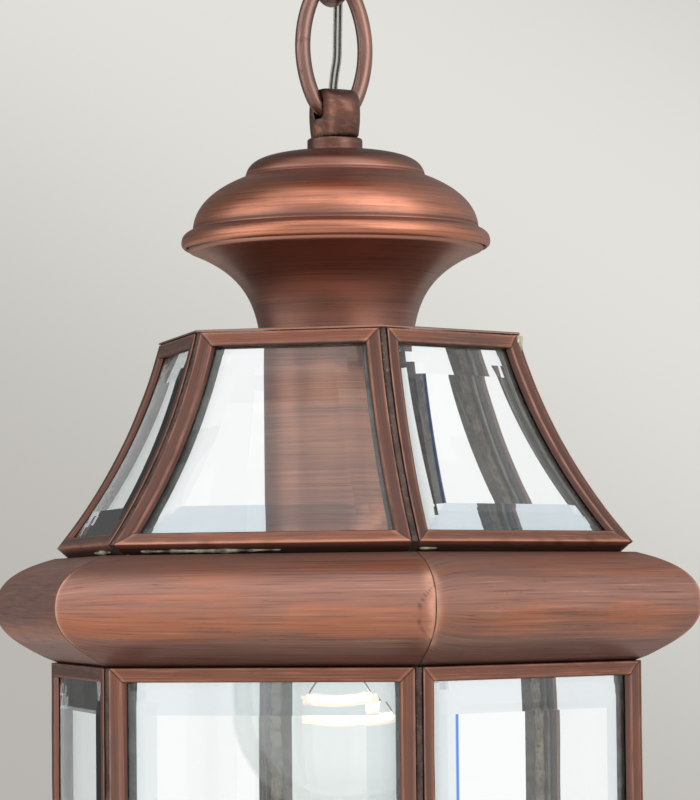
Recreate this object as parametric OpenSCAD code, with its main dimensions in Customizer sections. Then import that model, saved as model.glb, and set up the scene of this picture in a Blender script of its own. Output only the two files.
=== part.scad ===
// Hanging chain lantern: six bent and six flat bevelled panes in copper came, hung on three links
// below a ceiling rose. Millimetres, +Z up, origin on the ceiling face at the middle of the rose.

/* [Body] */
// Distance across opposite corners of the half-round belt
belt_across = 254; // [236:1:280]
// Radius to the corners of the straight glass body
body_corner_r = 106.5; // [100:0.5:110]
// Height of the straight glass body
body_h = 190; // [130:5:260]
// How far the top of the body hangs below the middle of the belt
body_top_drop = 19.3; // [18:0.1:22]

/* [Roof] */
// Radius to the corners at the top of the roof
roof_top_r = 65.3; // [60:0.1:70]
// Radius to the corners at the eaves
roof_eaves_r = 104.2; // [100:0.1:108]
// Height of the eaves above the middle of the belt
eaves_h = 20.8; // [20.2:0.1:21.4]
// Height of the top of the roof above the middle of the belt
roof_top_h = 91.8; // [80:0.1:100]
// Radius that the roof panes are bent to
roof_bend_r = 196; // [150:1:300]

/* [Came and glass] */
// Width of the bars on the face of a pane
came_w = 4.8; // [4.2:0.1:6.5]
// Depth of the bars from front to back
came_d = 5.8; // [5.4:0.1:8]
// Thickness of the glass
glass_t = 4; // [3:0.1:5]
// Thickness left at the bevelled edge
glass_edge = 2; // [1.6:0.1:2.4]
// Width of the bevel
bevel_w = 14.5; // [6:0.5:18]

/* [Cap] */
// Outer radius of the rolled rim of the dome
rim_r = 53.6; // [53:0.1:56]
// Radius of the foot of the neck
neck_foot_r = 26.6; // [24:0.1:30]
// Outer diameter of the tube that carries the lampholder
tube_d = 50; // [46:1:54]

/* [Chain] */
// Number of links between the two loops is three; this is the wire of each link
wire_d = 5.35; // [4.5:0.05:5.6]
// Half the length of a link along the middle of its wire
link_half_l = 22.8; // [20:0.1:26]
// Half the width of a link along the middle of its wire
link_half_w = 12.35; // [12:0.05:14]
// Radius of the round ends of a link along the middle of its wire
link_end_r = 9.2; // [9:0.1:10]
// Turn of the chain about the vertical against the front pane
chain_turn = 45; // [30:5:60]

/* [Ceiling rose] */
// Radius of the canopy
canopy_r = 60; // [50:1:75]
// Depth of the canopy below the ceiling
canopy_h = 39; // [39:0.5:42]
// Distance between the two screw holes of the crossbar
crossbar_pitch = 76; // [70:2:84]
// Diameter of the screw holes in the crossbar
crossbar_hole_d = 5.2; // [4:0.1:6]

/* [Bulb] */
// Diameter of the glass globe
globe_d = 74; // [60:1:78]

/* [Hidden] */
PANES = 6;
ROOF_GLASS = [for (i = [1:PANES]) str("roof_glass_", i)];
ROOF_FRAME = [for (i = [1:PANES]) str("roof_frame_", i)];
BELT = [for (i = [1:PANES]) str("belt_", i)];
BODY_GLASS = [for (i = [1:PANES]) str("body_glass_", i)];
BODY_FRAME = [for (i = [1:PANES]) str("body_frame_", i)];

$fn = 72;
tan30 = tan(30);
cos30 = cos(30);

// Thickness of the spun and folded copper sheet
sheet = 1;
// Play left between pieces that swing against each other
play = 0.3;
// Play of a glass pane in its groove
glass_play = 0.15;
// Half of the gap between the frames of two neighbouring panes, filled by solder
corner_gap = 1.3;
// Half of the seam between two mitred lengths of moulding
mitre_gap = 0.06;
// Web of a came bar behind the edge of the glass
came_web = 1;
// Depth and half width of the fine line along each mitre of a frame
mitre_line_d = 0.4;
mitre_line_w = 0.09;
// Reach of wedges and cutters that only have to pass right through
far = 160;

// Loops and collars, as heights below the wire that hangs in the eye
loop_t = 10;
loop_top = 8.3;
loop_corner = 2.2;
loop_web = 5.3;
eye_half_w = 3.5;
eye_corner = 2;
loop_half_w = 9.8;
loop_arch_r = 8;
loop_foot_half_w = 8.65;
loop_drop = 8.9;
spigot_drop = 11.1;
collar_h = 4.4;
collar_r = 9.6;
thread_r = 5;
bore_r = 3.5;
wireway_r = 2.2;

// Chain, from the ceiling down: height of the wire at the top and bottom of each link
wire_r = wire_d / 2;
link_sides = 16;
link_step = 2 * link_half_l;
link_gap = wire_d + play;
top_wire_z = -(canopy_h + collar_h + loop_drop);
link3_low_z = top_wire_z - link_step;
link2_top_z = link3_low_z + link_gap;
link2_low_z = link2_top_z - link_step;
link1_top_z = link2_low_z + link_gap;
hook_z = link1_top_z - link_step;

// Lantern: heights are measured from the middle of the belt
dome_top_h = 157.6;
hook_h = dome_top_h + collar_h + loop_drop;
lantern_z = hook_z - hook_h;
plate_t = 0.9;
clear_r = thread_r + 0.1;

// Crossbar and terminal block inside the canopy
bar_w = 18;
bar_t = 2;
bar_len = 92;
bar_z = -17;
bar_flat = 24;
bar_foot = 30;
nut_h = 3;
nut_r = 8;
block_size = [14, 12, 10];
block_x = 9.2;

// Lampholder and bulb
tube_end_h = 5;
holder_r = 19.5;
holder_low_h = 8;
holder_cavity_r = 13.3;
holder_cavity_h = 36;
holder_mid_h = 46;
holder_top_h = 58;
nipple_low_h = 54;
bulb_r = 13;
bulb_seat_h = 12;
globe_r = globe_d / 2;
globe_h = -35;
globe_t = 0.8;
filament_h = -38;
filament_half_w = 11;
lead_r = 0.4;

// Route of the cord from the terminal block to the lampholder, in the frame of the turned chain
cord_d = 3.2;
cord_sides = 8;
cord_steps = 2;
cord_route = [
    [6.4, -6.4, -10], [4.6, -4.6, -10], [2.6, -2.6, -10.8], [0.8, -0.8, -13.2], [0, 0, -17],
    [0, 0, -26], [0, 0, -35.9], [-0.4, 0, -39.9], [-2, 0.3, -43.2], [-4.4, 1.1, -45.7],
    [-6.9, 3.1, -47.3], [-8.4, 6.4, -49.1], [-8.2, 9.6, -52.3], [-6.8, 11.4, -56.4],
    [-5.8, 11.4, -61.4], [-5.5, 9.6, -67], [-5.2, 7.6, -76], [-5, 6.2, -86], [-5, 5.8, -94],
    [-4.8, 5.8, -101], [-3.2, 5.7, -107.5], [0, 5.6, -114], [3.2, 5.7, -120.5], [4.9, 5.8, -127],
    [5.2, 6, -134], [5.3, 6.6, -142], [5.6, 7.6, -150], [6, 8.8, -157], [5.8, 10.4, -163],
    [5.8, 11.4, -168.5], [6.8, 11.4, -173.5], [8.2, 9.6, -177.6], [8.4, 6.4, -180.8],
    [6.9, 3.1, -182.6], [4.4, 1.1, -184.2], [2, 0.3, -186.7], [0.4, 0, -190], [0, 0, -194],
    [0, 0, -215], [0, 0, -240], [0, 0, -270], [0, 0, -302.7]
];

// Points on a cubic curve from a to d that leaves towards b and arrives from c
function curve(a, b, c, d, n = 8) = [
    for (i = [0:n])
        let (t = i / n, s = 1 - t)
        s * s * s * a + 3 * s * s * t * b + 3 * s * t * t * c + t * t * t * d
];

// The same outline moved sideways by t, to the left of its direction
function moved(p, t) = [
    for (i = [0:len(p) - 1])
        let (a = p[max(i - 1, 0)], b = p[min(i + 1, len(p) - 1)], d = (b - a) / norm(b - a))
        p[i] + t * [-d[1], d[0]]
];

// Closed outline of a sheet that follows the points, with its thickness to their left
function skin(p, t) = let (q = moved(p, t)) concat(p, [for (i = [len(q) - 1:-1:0]) q[i]]);

// Middle of the circle through two points of an outline, on its outer side
function bend_centre(p, q, r) =
    let (m = (p + q) / 2, d = (q - p) / norm(q - p), half = norm(q - p) / 2)
    m + sqrt(r * r - half * half) * [-d[1], d[0]];

// Roof section: outer face of a pane from its top to the eaves
roof_top = [roof_top_r * cos30, roof_top_h];
roof_low = [roof_eaves_r * cos30, eaves_h];
roof_c = bend_centre(roof_top, roof_low, roof_bend_r);
roof_a0 = 180 + asin((roof_c[1] - roof_top[1]) / roof_bend_r);
roof_a1 = 180 + asin((roof_c[1] - roof_low[1]) / roof_bend_r);
roof_in = [cos(roof_a1), sin(roof_a1)];

// Depths of the glass below the face of the bars
glass_front = 0.5;
glass_back = glass_front + glass_t;
bevel_rise = (glass_t - glass_edge) * (came_w - came_web) / bevel_w;
groove_front = glass_back - glass_edge - bevel_rise - 2 * glass_play;
groove_back = glass_back + glass_play;
side_face = came_w * 0.89;

// Body section
body_a = body_corner_r * cos30;
body_top_h = -body_top_drop;
body_low_h = body_top_h - body_h;
nose_a = belt_across / 2 * cos30;
base_h = 16;

// A pane's own frame: X points out through the middle of the pane, Z is up from the belt
module at_pane(i) {
    translate([0, 0, lantern_z])
        rotate([0, 0, -90 + 360 / PANES * (i - 1)])
            children();
}

// An outline of distance out and height, carried along the width of a pane
module along_pane() {
    rotate([90, 0, 0])
        linear_extrude(height = 2 * far, center = true)
            children();
}

// The wedge between the two corner planes of a pane, less a strip of width g beside each
module wedge(g, h0 = -far * 2, h1 = far) {
    reach = (far - 2 * g) * tan30;
    translate([0, 0, h0])
        linear_extrude(height = h1 - h0)
            polygon([[2 * g, 0], [far, -reach], [far, reach]]);
}

// Chain frame: X lies along the eyes of the loops
module turned() {
    rotate([0, 0, chain_turn])
        children();
}

// Ceiling rose

module crossbar() {
    half = bar_len / 2;
    color("silver")
        difference() {
            rotate([90, 0, 0])
                linear_extrude(height = bar_w, center = true)
                    polygon([
                        [-half, 0], [-bar_foot, 0], [-bar_flat, bar_z], [bar_flat, bar_z],
                        [bar_foot, 0], [half, 0], [half, -bar_t], [bar_foot + 1, -bar_t],
                        [bar_flat + 1, bar_z - bar_t], [-bar_flat - 1, bar_z - bar_t],
                        [-bar_foot - 1, -bar_t], [-half, -bar_t]
                    ]);
            for (s = [-1, 1])
                translate([s * crossbar_pitch / 2, 0, -bar_t - 1])
                    cylinder(d = crossbar_hole_d, h = bar_t + 2);
            translate([0, 0, bar_z - bar_t - 1])
                cylinder(r = thread_r, h = bar_t + 2);
        }
}

module threaded_tube(low, high) {
    translate([0, 0, low])
        difference() {
            cylinder(r = thread_r, h = high - low);
            translate([0, 0, -1])
                cylinder(r = bore_r, h = high - low + 2);
        }
}

module locknut(low) {
    translate([0, 0, low])
        difference() {
            cylinder(r = nut_r, h = nut_h, $fn = 6);
            translate([0, 0, -1])
                cylinder(r = thread_r, h = nut_h + 2);
        }
}

module ceiling_nipple() {
    color("gold")
        threaded_tube(top_wire_z + spigot_drop, bar_z + nut_h);
}

module ceiling_locknut() {
    color("gold")
        locknut(bar_z);
}

module terminal_block() {
    color("ivory")
        difference() {
            translate([block_x, -block_size[1] / 2, bar_z])
                cube(block_size);
            for (x = [4, 10], y = [-3, 3])
                translate([block_x + x, y, bar_z + block_size[2] - 2])
                    cylinder(d = 3, h = 3);
        }
}

// Spun canopy: a straight lip on the ceiling, a small step and a bell down to the collar
module ceiling_canopy() {
    outline = concat(
        [[canopy_r, 0], [canopy_r, -3], [canopy_r - 2, -4.4]],
        curve([canopy_r - 3, -5], [canopy_r - 8, -20], [24, -22], [16, -canopy_h + 3], 10),
        [[13, -canopy_h + 1], [10.5, -canopy_h], [clear_r, -canopy_h]]
    );
    color("#8A5446")
        rotate_extrude()
            polygon(skin(outline, -sheet));
}

// Round collar between a loop and the sheet that it clamps
module collar(low) {
    color("#8A5446")
        translate([0, 0, low])
            difference() {
                rotate_extrude()
                    polygon([
                        [0, 0], [collar_r, 0], [collar_r, collar_h - 0.6],
                        [collar_r - 0.6, collar_h], [0, collar_h]
                    ]);
                translate([0, 0, -1])
                    cylinder(r = thread_r, h = collar_h + 2);
            }
}

// Cast loop, seen along its eye: an arch on a foot. The wire in the eye runs along X at the origin.
module loop_outline() {
    arch_h = loop_top - loop_arch_r;
    arch_x = loop_half_w - loop_arch_r;
    for (s = [-1, 1])
        translate([s * arch_x, arch_h])
            circle(r = loop_arch_r);
    translate([-arch_x, 0])
        square([2 * arch_x, arch_h + loop_arch_r]);
    polygon([
        [-loop_foot_half_w, -loop_drop], [loop_foot_half_w, -loop_drop],
        [loop_half_w, arch_h], [-loop_half_w, arch_h]
    ]);
}

// The eye follows the curve of the link that swings in it
module eye_cutter() {
    reach = wire_r + play;
    translate([0, 0, link_end_r])
        rotate([90, 0, 0])
            rotate_extrude()
                translate([link_end_r, 0])
                    offset(r = eye_corner)
                        square([2 * (reach - eye_corner), 2 * (eye_half_w - eye_corner)], center = true);
}

module cast_loop() {
    color("#8A5446")
        difference() {
            union() {
                intersection() {
                    rotate([90, 0, 90])
                        linear_extrude(height = loop_t, center = true)
                            loop_outline();
                    translate([0, 0, -loop_drop - 1])
                        linear_extrude(height = 2 * loop_drop + 2)
                            offset(r = loop_corner)
                                square([loop_t - 2 * loop_corner, 2 * (loop_half_w - loop_corner)],
                                    center = true);
                }
                translate([0, 0, -spigot_drop])
                    cylinder(r = thread_r, h = spigot_drop - loop_drop + 0.5);
            }
            eye_cutter();
            translate([0, 0, -spigot_drop - 1])
                cylinder(r = bore_r, h = spigot_drop + 1 - loop_web);
            translate([0.7, 0, -10.3])
                rotate([0, 44, 18])
                    cylinder(r = wireway_r, h = 12);
        }
}

module canopy_collar() {
    collar(-canopy_h - collar_h);
}

module canopy_loop() {
    translate([0, 0, top_wire_z])
        turned()
            rotate([0, 180, 0])
                cast_loop();
}

// Chain

// One round-wire oval link, standing in the XZ plane with its middle at the origin. The middle of
// its wire runs along four arcs: each is its centre, radius, first and last angle and its steps.
module oval_link() {
    k = link_half_l - link_end_r;
    side_r = (link_half_w * link_half_w + k * k - link_end_r * link_end_r)
        / (2 * (link_half_w - link_end_r));
    a = atan2(k, side_r - link_half_w);
    arcs = [
        [[0, k], link_end_r, a, 180 - a, 12],
        [[side_r - link_half_w, 0], side_r, 180 - a, 180 + a, 6],
        [[0, -k], link_end_r, 180 + a, 360 - a, 12],
        [[link_half_w - side_r, 0], side_r, -a, a, 6]
    ];
    rings = [
        for (s = arcs, i = [0:s[4] - 1])
            let (t = s[2] + (s[3] - s[2]) * i / s[4])
            for (j = [0:link_sides - 1])
                let (q = 360 * j / link_sides, p = s[0] + (s[1] + wire_r * cos(q)) * [cos(t), sin(t)])
                [p[0], wire_r * sin(q), p[1]]
    ];
    n = len(rings) / link_sides;
    color("#9A6656")
        polyhedron(rings, [
            for (i = [0:n - 1], j = [0:link_sides - 1])
                let (i1 = (i + 1) % n * link_sides, i0 = i * link_sides, k = (j + 1) % link_sides)
                [i0 + j, i1 + j, i1 + k, i0 + k]
        ]);
}

module chain_link_3() {
    translate([0, 0, top_wire_z - link_half_l])
        turned()
            oval_link();
}

module chain_link_2() {
    translate([0, 0, link2_top_z - link_half_l])
        turned()
            rotate([0, 0, 90])
                oval_link();
}

module chain_link_1() {
    translate([0, 0, link1_top_z - link_half_l])
        turned()
            oval_link();
}

// Cord

// A point of the smooth curve through four route points, a share t of the way between the middle two
function smooth(p0, p1, p2, p3, t) =
    0.5 * (2 * p1 + (p2 - p0) * t + (2 * p0 - 5 * p1 + 4 * p2 - p3) * t * t
        + (3 * p1 - p0 - 3 * p2 + p3) * t * t * t);

function smooth_route(p, k) = let (n = len(p) - 1) concat(
    [
        for (i = [0:n - 1], j = [0:k - 1])
            smooth(p[max(i - 1, 0)], p[i], p[i + 1], p[min(i + 2, n)], j / k)
    ],
    [p[n]]
);

// Round tube along a route: one ring of points square to the route at each of its points
module cord_tube(p, r, sides) {
    n = len(p);
    across = [0.7, 0.7, 0];
    rings = [
        for (i = [0:n - 1])
            let (
                t = p[min(i + 1, n - 1)] - p[max(i - 1, 0)],
                u = cross(t, across) / norm(cross(t, across)),
                v = cross(t, u) / norm(t)
            )
            for (j = [0:sides - 1])
                p[i] + r * (cos(360 * j / sides) * u + sin(360 * j / sides) * v)
    ];
    walls = [
        for (i = [0:n - 2], j = [0:sides - 1])
            let (k = (j + 1) % sides)
            [i * sides + j, (i + 1) * sides + j, (i + 1) * sides + k, i * sides + k]
    ];
    polyhedron(
        rings,
        concat(
            [[for (j = [0:sides - 1]) j]],
            walls,
            [[for (j = [sides - 1:-1:0]) (n - 1) * sides + j]]
        )
    );
}

module cord() {
    color("gainsboro")
        turned()
            cord_tube(smooth_route(cord_route, cord_steps), cord_d / 2, cord_sides);
}

// Cap

module hang_loop() {
    translate([0, 0, hook_z])
        turned()
            cast_loop();
}

module loop_collar() {
    collar(lantern_z + dome_top_h);
}

module hang_nipple() {
    color("gold")
        threaded_tube(lantern_z + nipple_low_h, hook_z - spigot_drop);
}

module hang_locknut() {
    color("gold")
        locknut(lantern_z + roof_top_h - plate_t - nut_h);
}

// Spun dome: rolled rim, round shoulder, a crisp step and a low crown that carries the collar
module cap_dome() {
    rim_h = 126;
    outline = concat(
        [
            [rim_r - 1.2, rim_h - 2.4], [rim_r - 0.2, rim_h - 1.4], [rim_r, rim_h + 0.3],
            [rim_r - 0.7, rim_h + 2.2], [rim_r - 2.4, rim_h + 3.6], [rim_r - 3.9, rim_h + 4.2]
        ],
        curve([49.6, 130.8], [49, 138.5], [42.5, 144.5], [31.4, 148.6], 12),
        curve([31.2, 149.2], [30, 154.2], [26, 156.2], [12, dome_top_h], 10),
        [[clear_r, dome_top_h]]
    );
    color("#8A5446")
        translate([0, 0, lantern_z])
            rotate_extrude()
                polygon(skin(outline, sheet));
}

// Spun neck: it flares from its foot on the top plate to a flange, and turns up inside the dome
module cap_neck() {
    foot_h = roof_top_h + plate_t;
    outline = concat(
        curve([neck_foot_r, foot_h], [28.4, 106], [33, 115.5], [50.4, 122.4], 14),
        [[51.1, 123.2], [51.3, 124.4], [51.3, 128.2]]
    );
    color("#8A5446")
        translate([0, 0, lantern_z])
            rotate_extrude()
                polygon(skin(outline, sheet));
}

module top_plate() {
    color("#7C4A3E")
        translate([0, 0, lantern_z + roof_top_h])
            difference() {
                cylinder(r = roof_top_r, h = plate_t, $fn = 6);
                translate([0, 0, -1])
                    cylinder(r = clear_r, h = plate_t + 2);
            }
}

// Straight tube with a closed top that the nipple clamps under the top plate
module socket_tube() {
    r = tube_d / 2;
    color("#9A6656")
        translate([0, 0, lantern_z])
            difference() {
                translate([0, 0, tube_end_h])
                    cylinder(r = r, h = roof_top_h - tube_end_h);
                translate([0, 0, tube_end_h - 1])
                    cylinder(r = r - sheet, h = roof_top_h - plate_t - tube_end_h + 1);
                cylinder(r = clear_r, h = roof_top_h + 1);
            }
}

// Lampholder and bulb

module lampholder_cap() {
    wall = 2.5;
    color("white")
        translate([0, 0, lantern_z])
            rotate_extrude()
                polygon([
                    [thread_r, nipple_low_h], [holder_r - wall - 3, nipple_low_h],
                    [holder_r - wall, nipple_low_h - 3], [holder_r - wall, holder_mid_h],
                    [holder_r, holder_mid_h], [holder_r, nipple_low_h - 1],
                    [holder_r - 4, holder_top_h - 1.5], [8, holder_top_h], [thread_r, holder_top_h]
                ]);
}

module lampholder_shell() {
    color("white")
        translate([0, 0, lantern_z])
            rotate_extrude()
                polygon([
                    [0, holder_cavity_h], [holder_cavity_r, holder_cavity_h],
                    [holder_cavity_r, holder_low_h], [holder_r - 1.5, holder_low_h],
                    [holder_r, holder_low_h + 2], [holder_r, holder_mid_h], [0, holder_mid_h]
                ]);
}

module bulb_cap() {
    color("silver")
        translate([0, 0, lantern_z])
            rotate_extrude()
                polygon([
                    [0, bulb_seat_h], [bulb_r, bulb_seat_h], [bulb_r, 31], [6, 34.4],
                    [4.5, 34.8], [4.5, holder_cavity_h], [0, holder_cavity_h]
                ]);
}

// Blown globe with its neck, and the hollow stem that carries the filament
module bulb_glass() {
    a0 = 55;
    stem_r = 4;
    stem_low_h = filament_h + 16;
    shoulder = globe_r * [cos(a0), sin(a0)] + [0, globe_h];
    outer = concat(
        curve([bulb_r - 0.4, bulb_seat_h], [13.2, 4], shoulder + [-4.9, 3.4], shoulder, 6),
        [for (a = [a0 - 8:-8:-88]) globe_r * [cos(a), sin(a)] + [0, globe_h]],
        [[0, globe_h - globe_r]]
    );
    inner = [for (p = moved(outer, -globe_t)) if (p[1] < bulb_seat_h - 1 && p[0] > 0.5) p];
    color("aliceblue", 0.5)
        translate([0, 0, lantern_z])
            rotate_extrude()
                polygon(concat(
                    [[0.8, bulb_seat_h]], outer, [[0, globe_h - globe_r + globe_t]],
                    [for (i = [len(inner) - 1:-1:0]) inner[i]],
                    [
                        [bulb_r - 1.2, bulb_seat_h - 1], [stem_r, bulb_seat_h - 3],
                        [stem_r, stem_low_h],
                        [0.8, stem_low_h]
                    ]
                ));
}

// A round wire from p to q
module wire(p, q, r) {
    d = q - p;
    translate(p)
        rotate([0, acos(d[2] / norm(d)), atan2(d[1], d[0])])
            cylinder(r = r, h = norm(d), $fn = 16);
}

module bulb_filament() {
    top = filament_h + 15.8;
    color("orange")
        translate([0, 0, lantern_z])
            rotate([0, 0, 20]) {
                for (s = [-1, 1])
                    wire([s * 2, 0, top], [s * filament_half_w, 0, filament_h], lead_r);
                wire([-filament_half_w, 0, filament_h], [filament_half_w, 0, filament_h], 0.7);
            }
}

// Panes

// Closed solid of a bevelled pane. P(front) and P(back) are grids of points, row by row; the
// cells in the four corners are split along the mitre where two bevels meet.
function pane_cell(r, c, rows, cols, o, flip) =
    let (
        a = o + r * cols + c, b = a + 1, d = a + cols + 1, e = a + cols,
        down = (r == 0 && c == cols - 2) || (r == rows - 2 && c == 0),
        t = down ? [[a, b, e], [b, d, e]] : [[a, b, d], [a, d, e]]
    )
    flip ? [for (f = t) [f[2], f[1], f[0]]] : t;

module pane_solid(front, back, rows, cols) {
    n = rows * cols;
    border = concat(
        [for (c = [0:cols - 2]) [c, c + 1]],
        [for (r = [0:rows - 2]) [r * cols + cols - 1, (r + 1) * cols + cols - 1]],
        [for (c = [cols - 1:-1:1]) [(rows - 1) * cols + c, (rows - 1) * cols + c - 1]],
        [for (r = [rows - 1:-1:1]) [r * cols, (r - 1) * cols]]
    );
    polyhedron(
        concat(front, back),
        concat(
            [for (r = [0:rows - 2], c = [0:cols - 2]) each pane_cell(r, c, rows, cols, 0, false)],
            [for (r = [0:rows - 2], c = [0:cols - 2]) each pane_cell(r, c, rows, cols, n, true)],
            [for (s = border) [s[0], s[0] + n, s[1] + n, s[1]]]
        )
    );
}

// Strip that the glass leaves free beside a corner plane, and where its bevel ends
glass_side = corner_gap + came_web + glass_play;
glass_inner = glass_side + bevel_w * 0.87;
glass_ends = came_web;

// The four columns of a pane: distance from the middle at distance a out from the axis
function columns(a) = [
    for (g = [glass_side, glass_inner]) -(a - 2 * g) * tan30,
    for (g = [glass_inner, glass_side]) (a - 2 * g) * tan30
];

// Rows of a bent pane, as angles about the centre of its bend
bend_rows = 8;
roof_g0 = roof_a0 + glass_ends / roof_bend_r * 180 / PI;
roof_g1 = roof_a1 - glass_ends / roof_bend_r * 180 / PI;
roof_b = bevel_w / roof_bend_r * 180 / PI;
roof_rows = concat(
    [roof_g0],
    [for (i = [0:bend_rows]) roof_g0 + roof_b + (roof_g1 - roof_g0 - 2 * roof_b) * i / bend_rows],
    [roof_g1]
);

module roof_glass(i) {
    rows = len(roof_rows);
    edge = glass_back - glass_edge;
    function at(k, c, depth) =
        let (p = roof_c + (roof_bend_r + depth) * [cos(roof_rows[k]), sin(roof_rows[k])])
        [p[0], columns(p[0])[c], p[1]];
    function rim(k, c) = k == 0 || k == rows - 1 || c == 0 || c == 3;
    front = [for (k = [0:rows - 1], c = [0:3]) at(k, c, rim(k, c) ? edge : glass_front)];
    back = [for (k = [0:rows - 1], c = [0:3]) at(k, c, glass_back)];
    color("lightcyan", 0.5)
        at_pane(i)
            pane_solid(front, back, rows, 4);
}

module body_glass(i) {
    edge = glass_back - glass_edge;
    top = body_top_h - glass_ends;
    low = body_low_h + glass_ends;
    heights = [top, top - bevel_w, low + bevel_w, low];
    function rim(k, c) = k == 0 || k == 3 || c == 0 || c == 3;
    function at(k, c, depth) = [body_a - depth, columns(body_a - depth)[c], heights[k]];
    front = [for (k = [0:3], c = [0:3]) at(k, c, rim(k, c) ? edge : glass_front)];
    back = [for (k = [0:3], c = [0:3]) at(k, c, glass_back)];
    color("lightcyan", 0.5)
        at_pane(i)
            pane_solid(front, back, 4, 4);
}

// Frames

// Section of the bent roof between two depths below its face, cut square to the bend at both ends;
// s is the length left free at each end
module bent_band(d0, d1, s) {
    a0 = roof_a0 + s / roof_bend_r * 180 / PI;
    a1 = roof_a1 - s / roof_bend_r * 180 / PI;
    reach = roof_bend_r * 1.3;
    intersection() {
        translate(roof_c)
            difference() {
                circle(r = roof_bend_r + d1, $fn = 360);
                circle(r = roof_bend_r + d0, $fn = 360);
            }
        polygon([
            roof_c, roof_c + reach * [cos(a0), sin(a0)], roof_c + reach * [cos(a1), sin(a1)]
        ]);
    }
}

// Fine line where the bars of a frame are mitred, at the face point p; tilt turns it into the
// plane of the face there and slope sets its direction in that plane
module mitre_line(p, tilt, slope) {
    translate(p)
        rotate([0, tilt, 0])
            rotate([slope, 0, 0])
                translate([-mitre_line_d, -mitre_line_w, -came_w * 0.45])
                    cube([mitre_line_d * 2, mitre_line_w * 2, came_w * 1.5]);
}

module roof_frame(i) {
    top_half = (roof_top[0] - 2 * corner_gap) * tan30;
    low_half = (roof_low[0] - 2 * corner_gap) * tan30;
    color("#8A5446")
        at_pane(i)
            difference() {
                intersection() {
                    along_pane()
                        bent_band(0, came_d, 0);
                    wedge(corner_gap);
                }
                intersection() {
                    along_pane()
                        bent_band(-1, came_d + 1, came_w);
                    wedge(corner_gap + side_face);
                }
                intersection() {
                    along_pane()
                        bent_band(groove_front, groove_back, glass_ends);
                    wedge(corner_gap + came_web);
                }
                for (s = [-1, 1]) {
                    mitre_line([roof_top[0], s * (top_half - came_w * 0.45), roof_top[1] - came_w / 2],
                        180 - roof_a0, s * 38);
                    mitre_line([roof_low[0], s * (low_half - came_w * 0.6), roof_low[1] + came_w / 2],
                        180 - roof_a1, s * -52);
                }
            }
}

module body_frame(i) {
    half = (body_a - 2 * corner_gap) * tan30;
    color("#8A5446")
        at_pane(i)
            difference() {
                intersection() {
                    translate([body_a - came_d, -far / 2, body_low_h])
                        cube([came_d, far, body_h]);
                    wedge(corner_gap);
                }
                intersection() {
                    translate([body_a - came_d - 1, -far / 2, body_low_h + came_w])
                        cube([came_d + 2, far, body_h - 2 * came_w]);
                    wedge(corner_gap + side_face);
                }
                intersection() {
                    translate([body_a - groove_back, -far / 2, body_low_h + glass_ends])
                        cube([groove_back - groove_front, far, body_h - 2 * glass_ends]);
                    wedge(corner_gap + came_web);
                }
                for (s = [-1, 1]) {
                    mitre_line([body_a, s * (half - came_w / 2), body_top_h - came_w / 2], 0, s * 45);
                    mitre_line([body_a, s * (half - came_w / 2), body_low_h + came_w / 2], 0, s * -45);
                }
            }
}

// Solder: a strip in the gap between two frames and a flat bead over the joint inside

bead_half_w = 2.2;
bead_t = 1.6;
strip_depth = 1;

// The corner curve of the roof at a depth below the faces
function corner_curve(depth, n = 12) = [
    for (i = [0:n])
        let (
            a = roof_a0 + (roof_a1 - roof_a0) * i / n,
            p = roof_c + (roof_bend_r + depth) * [cos(a), sin(a)]
        )
        [p[0] / cos30, p[1]]
];

function reversed(p) = [for (i = [len(p) - 1:-1:0]) p[i]];

module at_corner(i) {
    translate([0, 0, lantern_z])
        rotate([0, 0, -60 + 360 / PANES * (i - 1)])
            rotate([90, 0, 0])
                children();
}

module roof_solder() {
    lift = bead_half_w * tan30 + 0.05;
    inner = [for (p = corner_curve(came_d)) p - [lift, 0]];
    color("darkgray")
        for (i = [1:PANES])
            at_corner(i) {
                linear_extrude(height = 2 * corner_gap, center = true)
                    polygon(concat(
                        corner_curve(strip_depth), reversed([for (p = inner) p - [bead_t / 2, 0]])
                    ));
                linear_extrude(height = 2 * bead_half_w, center = true)
                    polygon(concat(inner, reversed([for (p = inner) p - [bead_t, 0]])));
            }
}

module body_solder() {
    lift = bead_half_w * tan30;
    inner_r = (body_a - came_d) / cos30 - lift;
    outer_r = (body_a - strip_depth) / cos30;
    color("darkgray")
        for (i = [1:PANES])
            at_corner(i) {
                linear_extrude(height = 2 * corner_gap, center = true)
                    translate([inner_r - bead_t / 2, body_low_h])
                        square([outer_r - inner_r + bead_t / 2, body_h]);
                linear_extrude(height = 2 * bead_half_w, center = true)
                    translate([inner_r - bead_t, body_low_h])
                        square([bead_t, body_h]);
            }
}

// Mouldings

// Sheet section carried along one side of the hexagon and mitred at both corners
module moulding(i, outline) {
    at_pane(i)
        intersection() {
            along_pane()
                polygon(skin(outline, sheet));
            wedge(mitre_gap);
        }
}

// Half-round belt: a flange that carries the roof frames, a full round nose and a flange on the
// body frames
eaves_seat = roof_low + came_d * roof_in;
belt_outline = concat(
    [[body_a - came_d, body_top_h], [body_a - 2.4, body_top_h]],
    curve([nose_a - 16.2, -17.6], [nose_a - 6, -11.9], [nose_a, -8], [nose_a, 0], 10),
    curve([nose_a, 0.4], [nose_a, 7.8], [nose_a - 5, 13.4], [nose_a - 19.6, eaves_seat[1]], 10),
    [[eaves_seat[0] - 0.8, eaves_seat[1]]]
);

module belt(i) {
    color("#8A5446")
        moulding(i, belt_outline);
}

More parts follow.
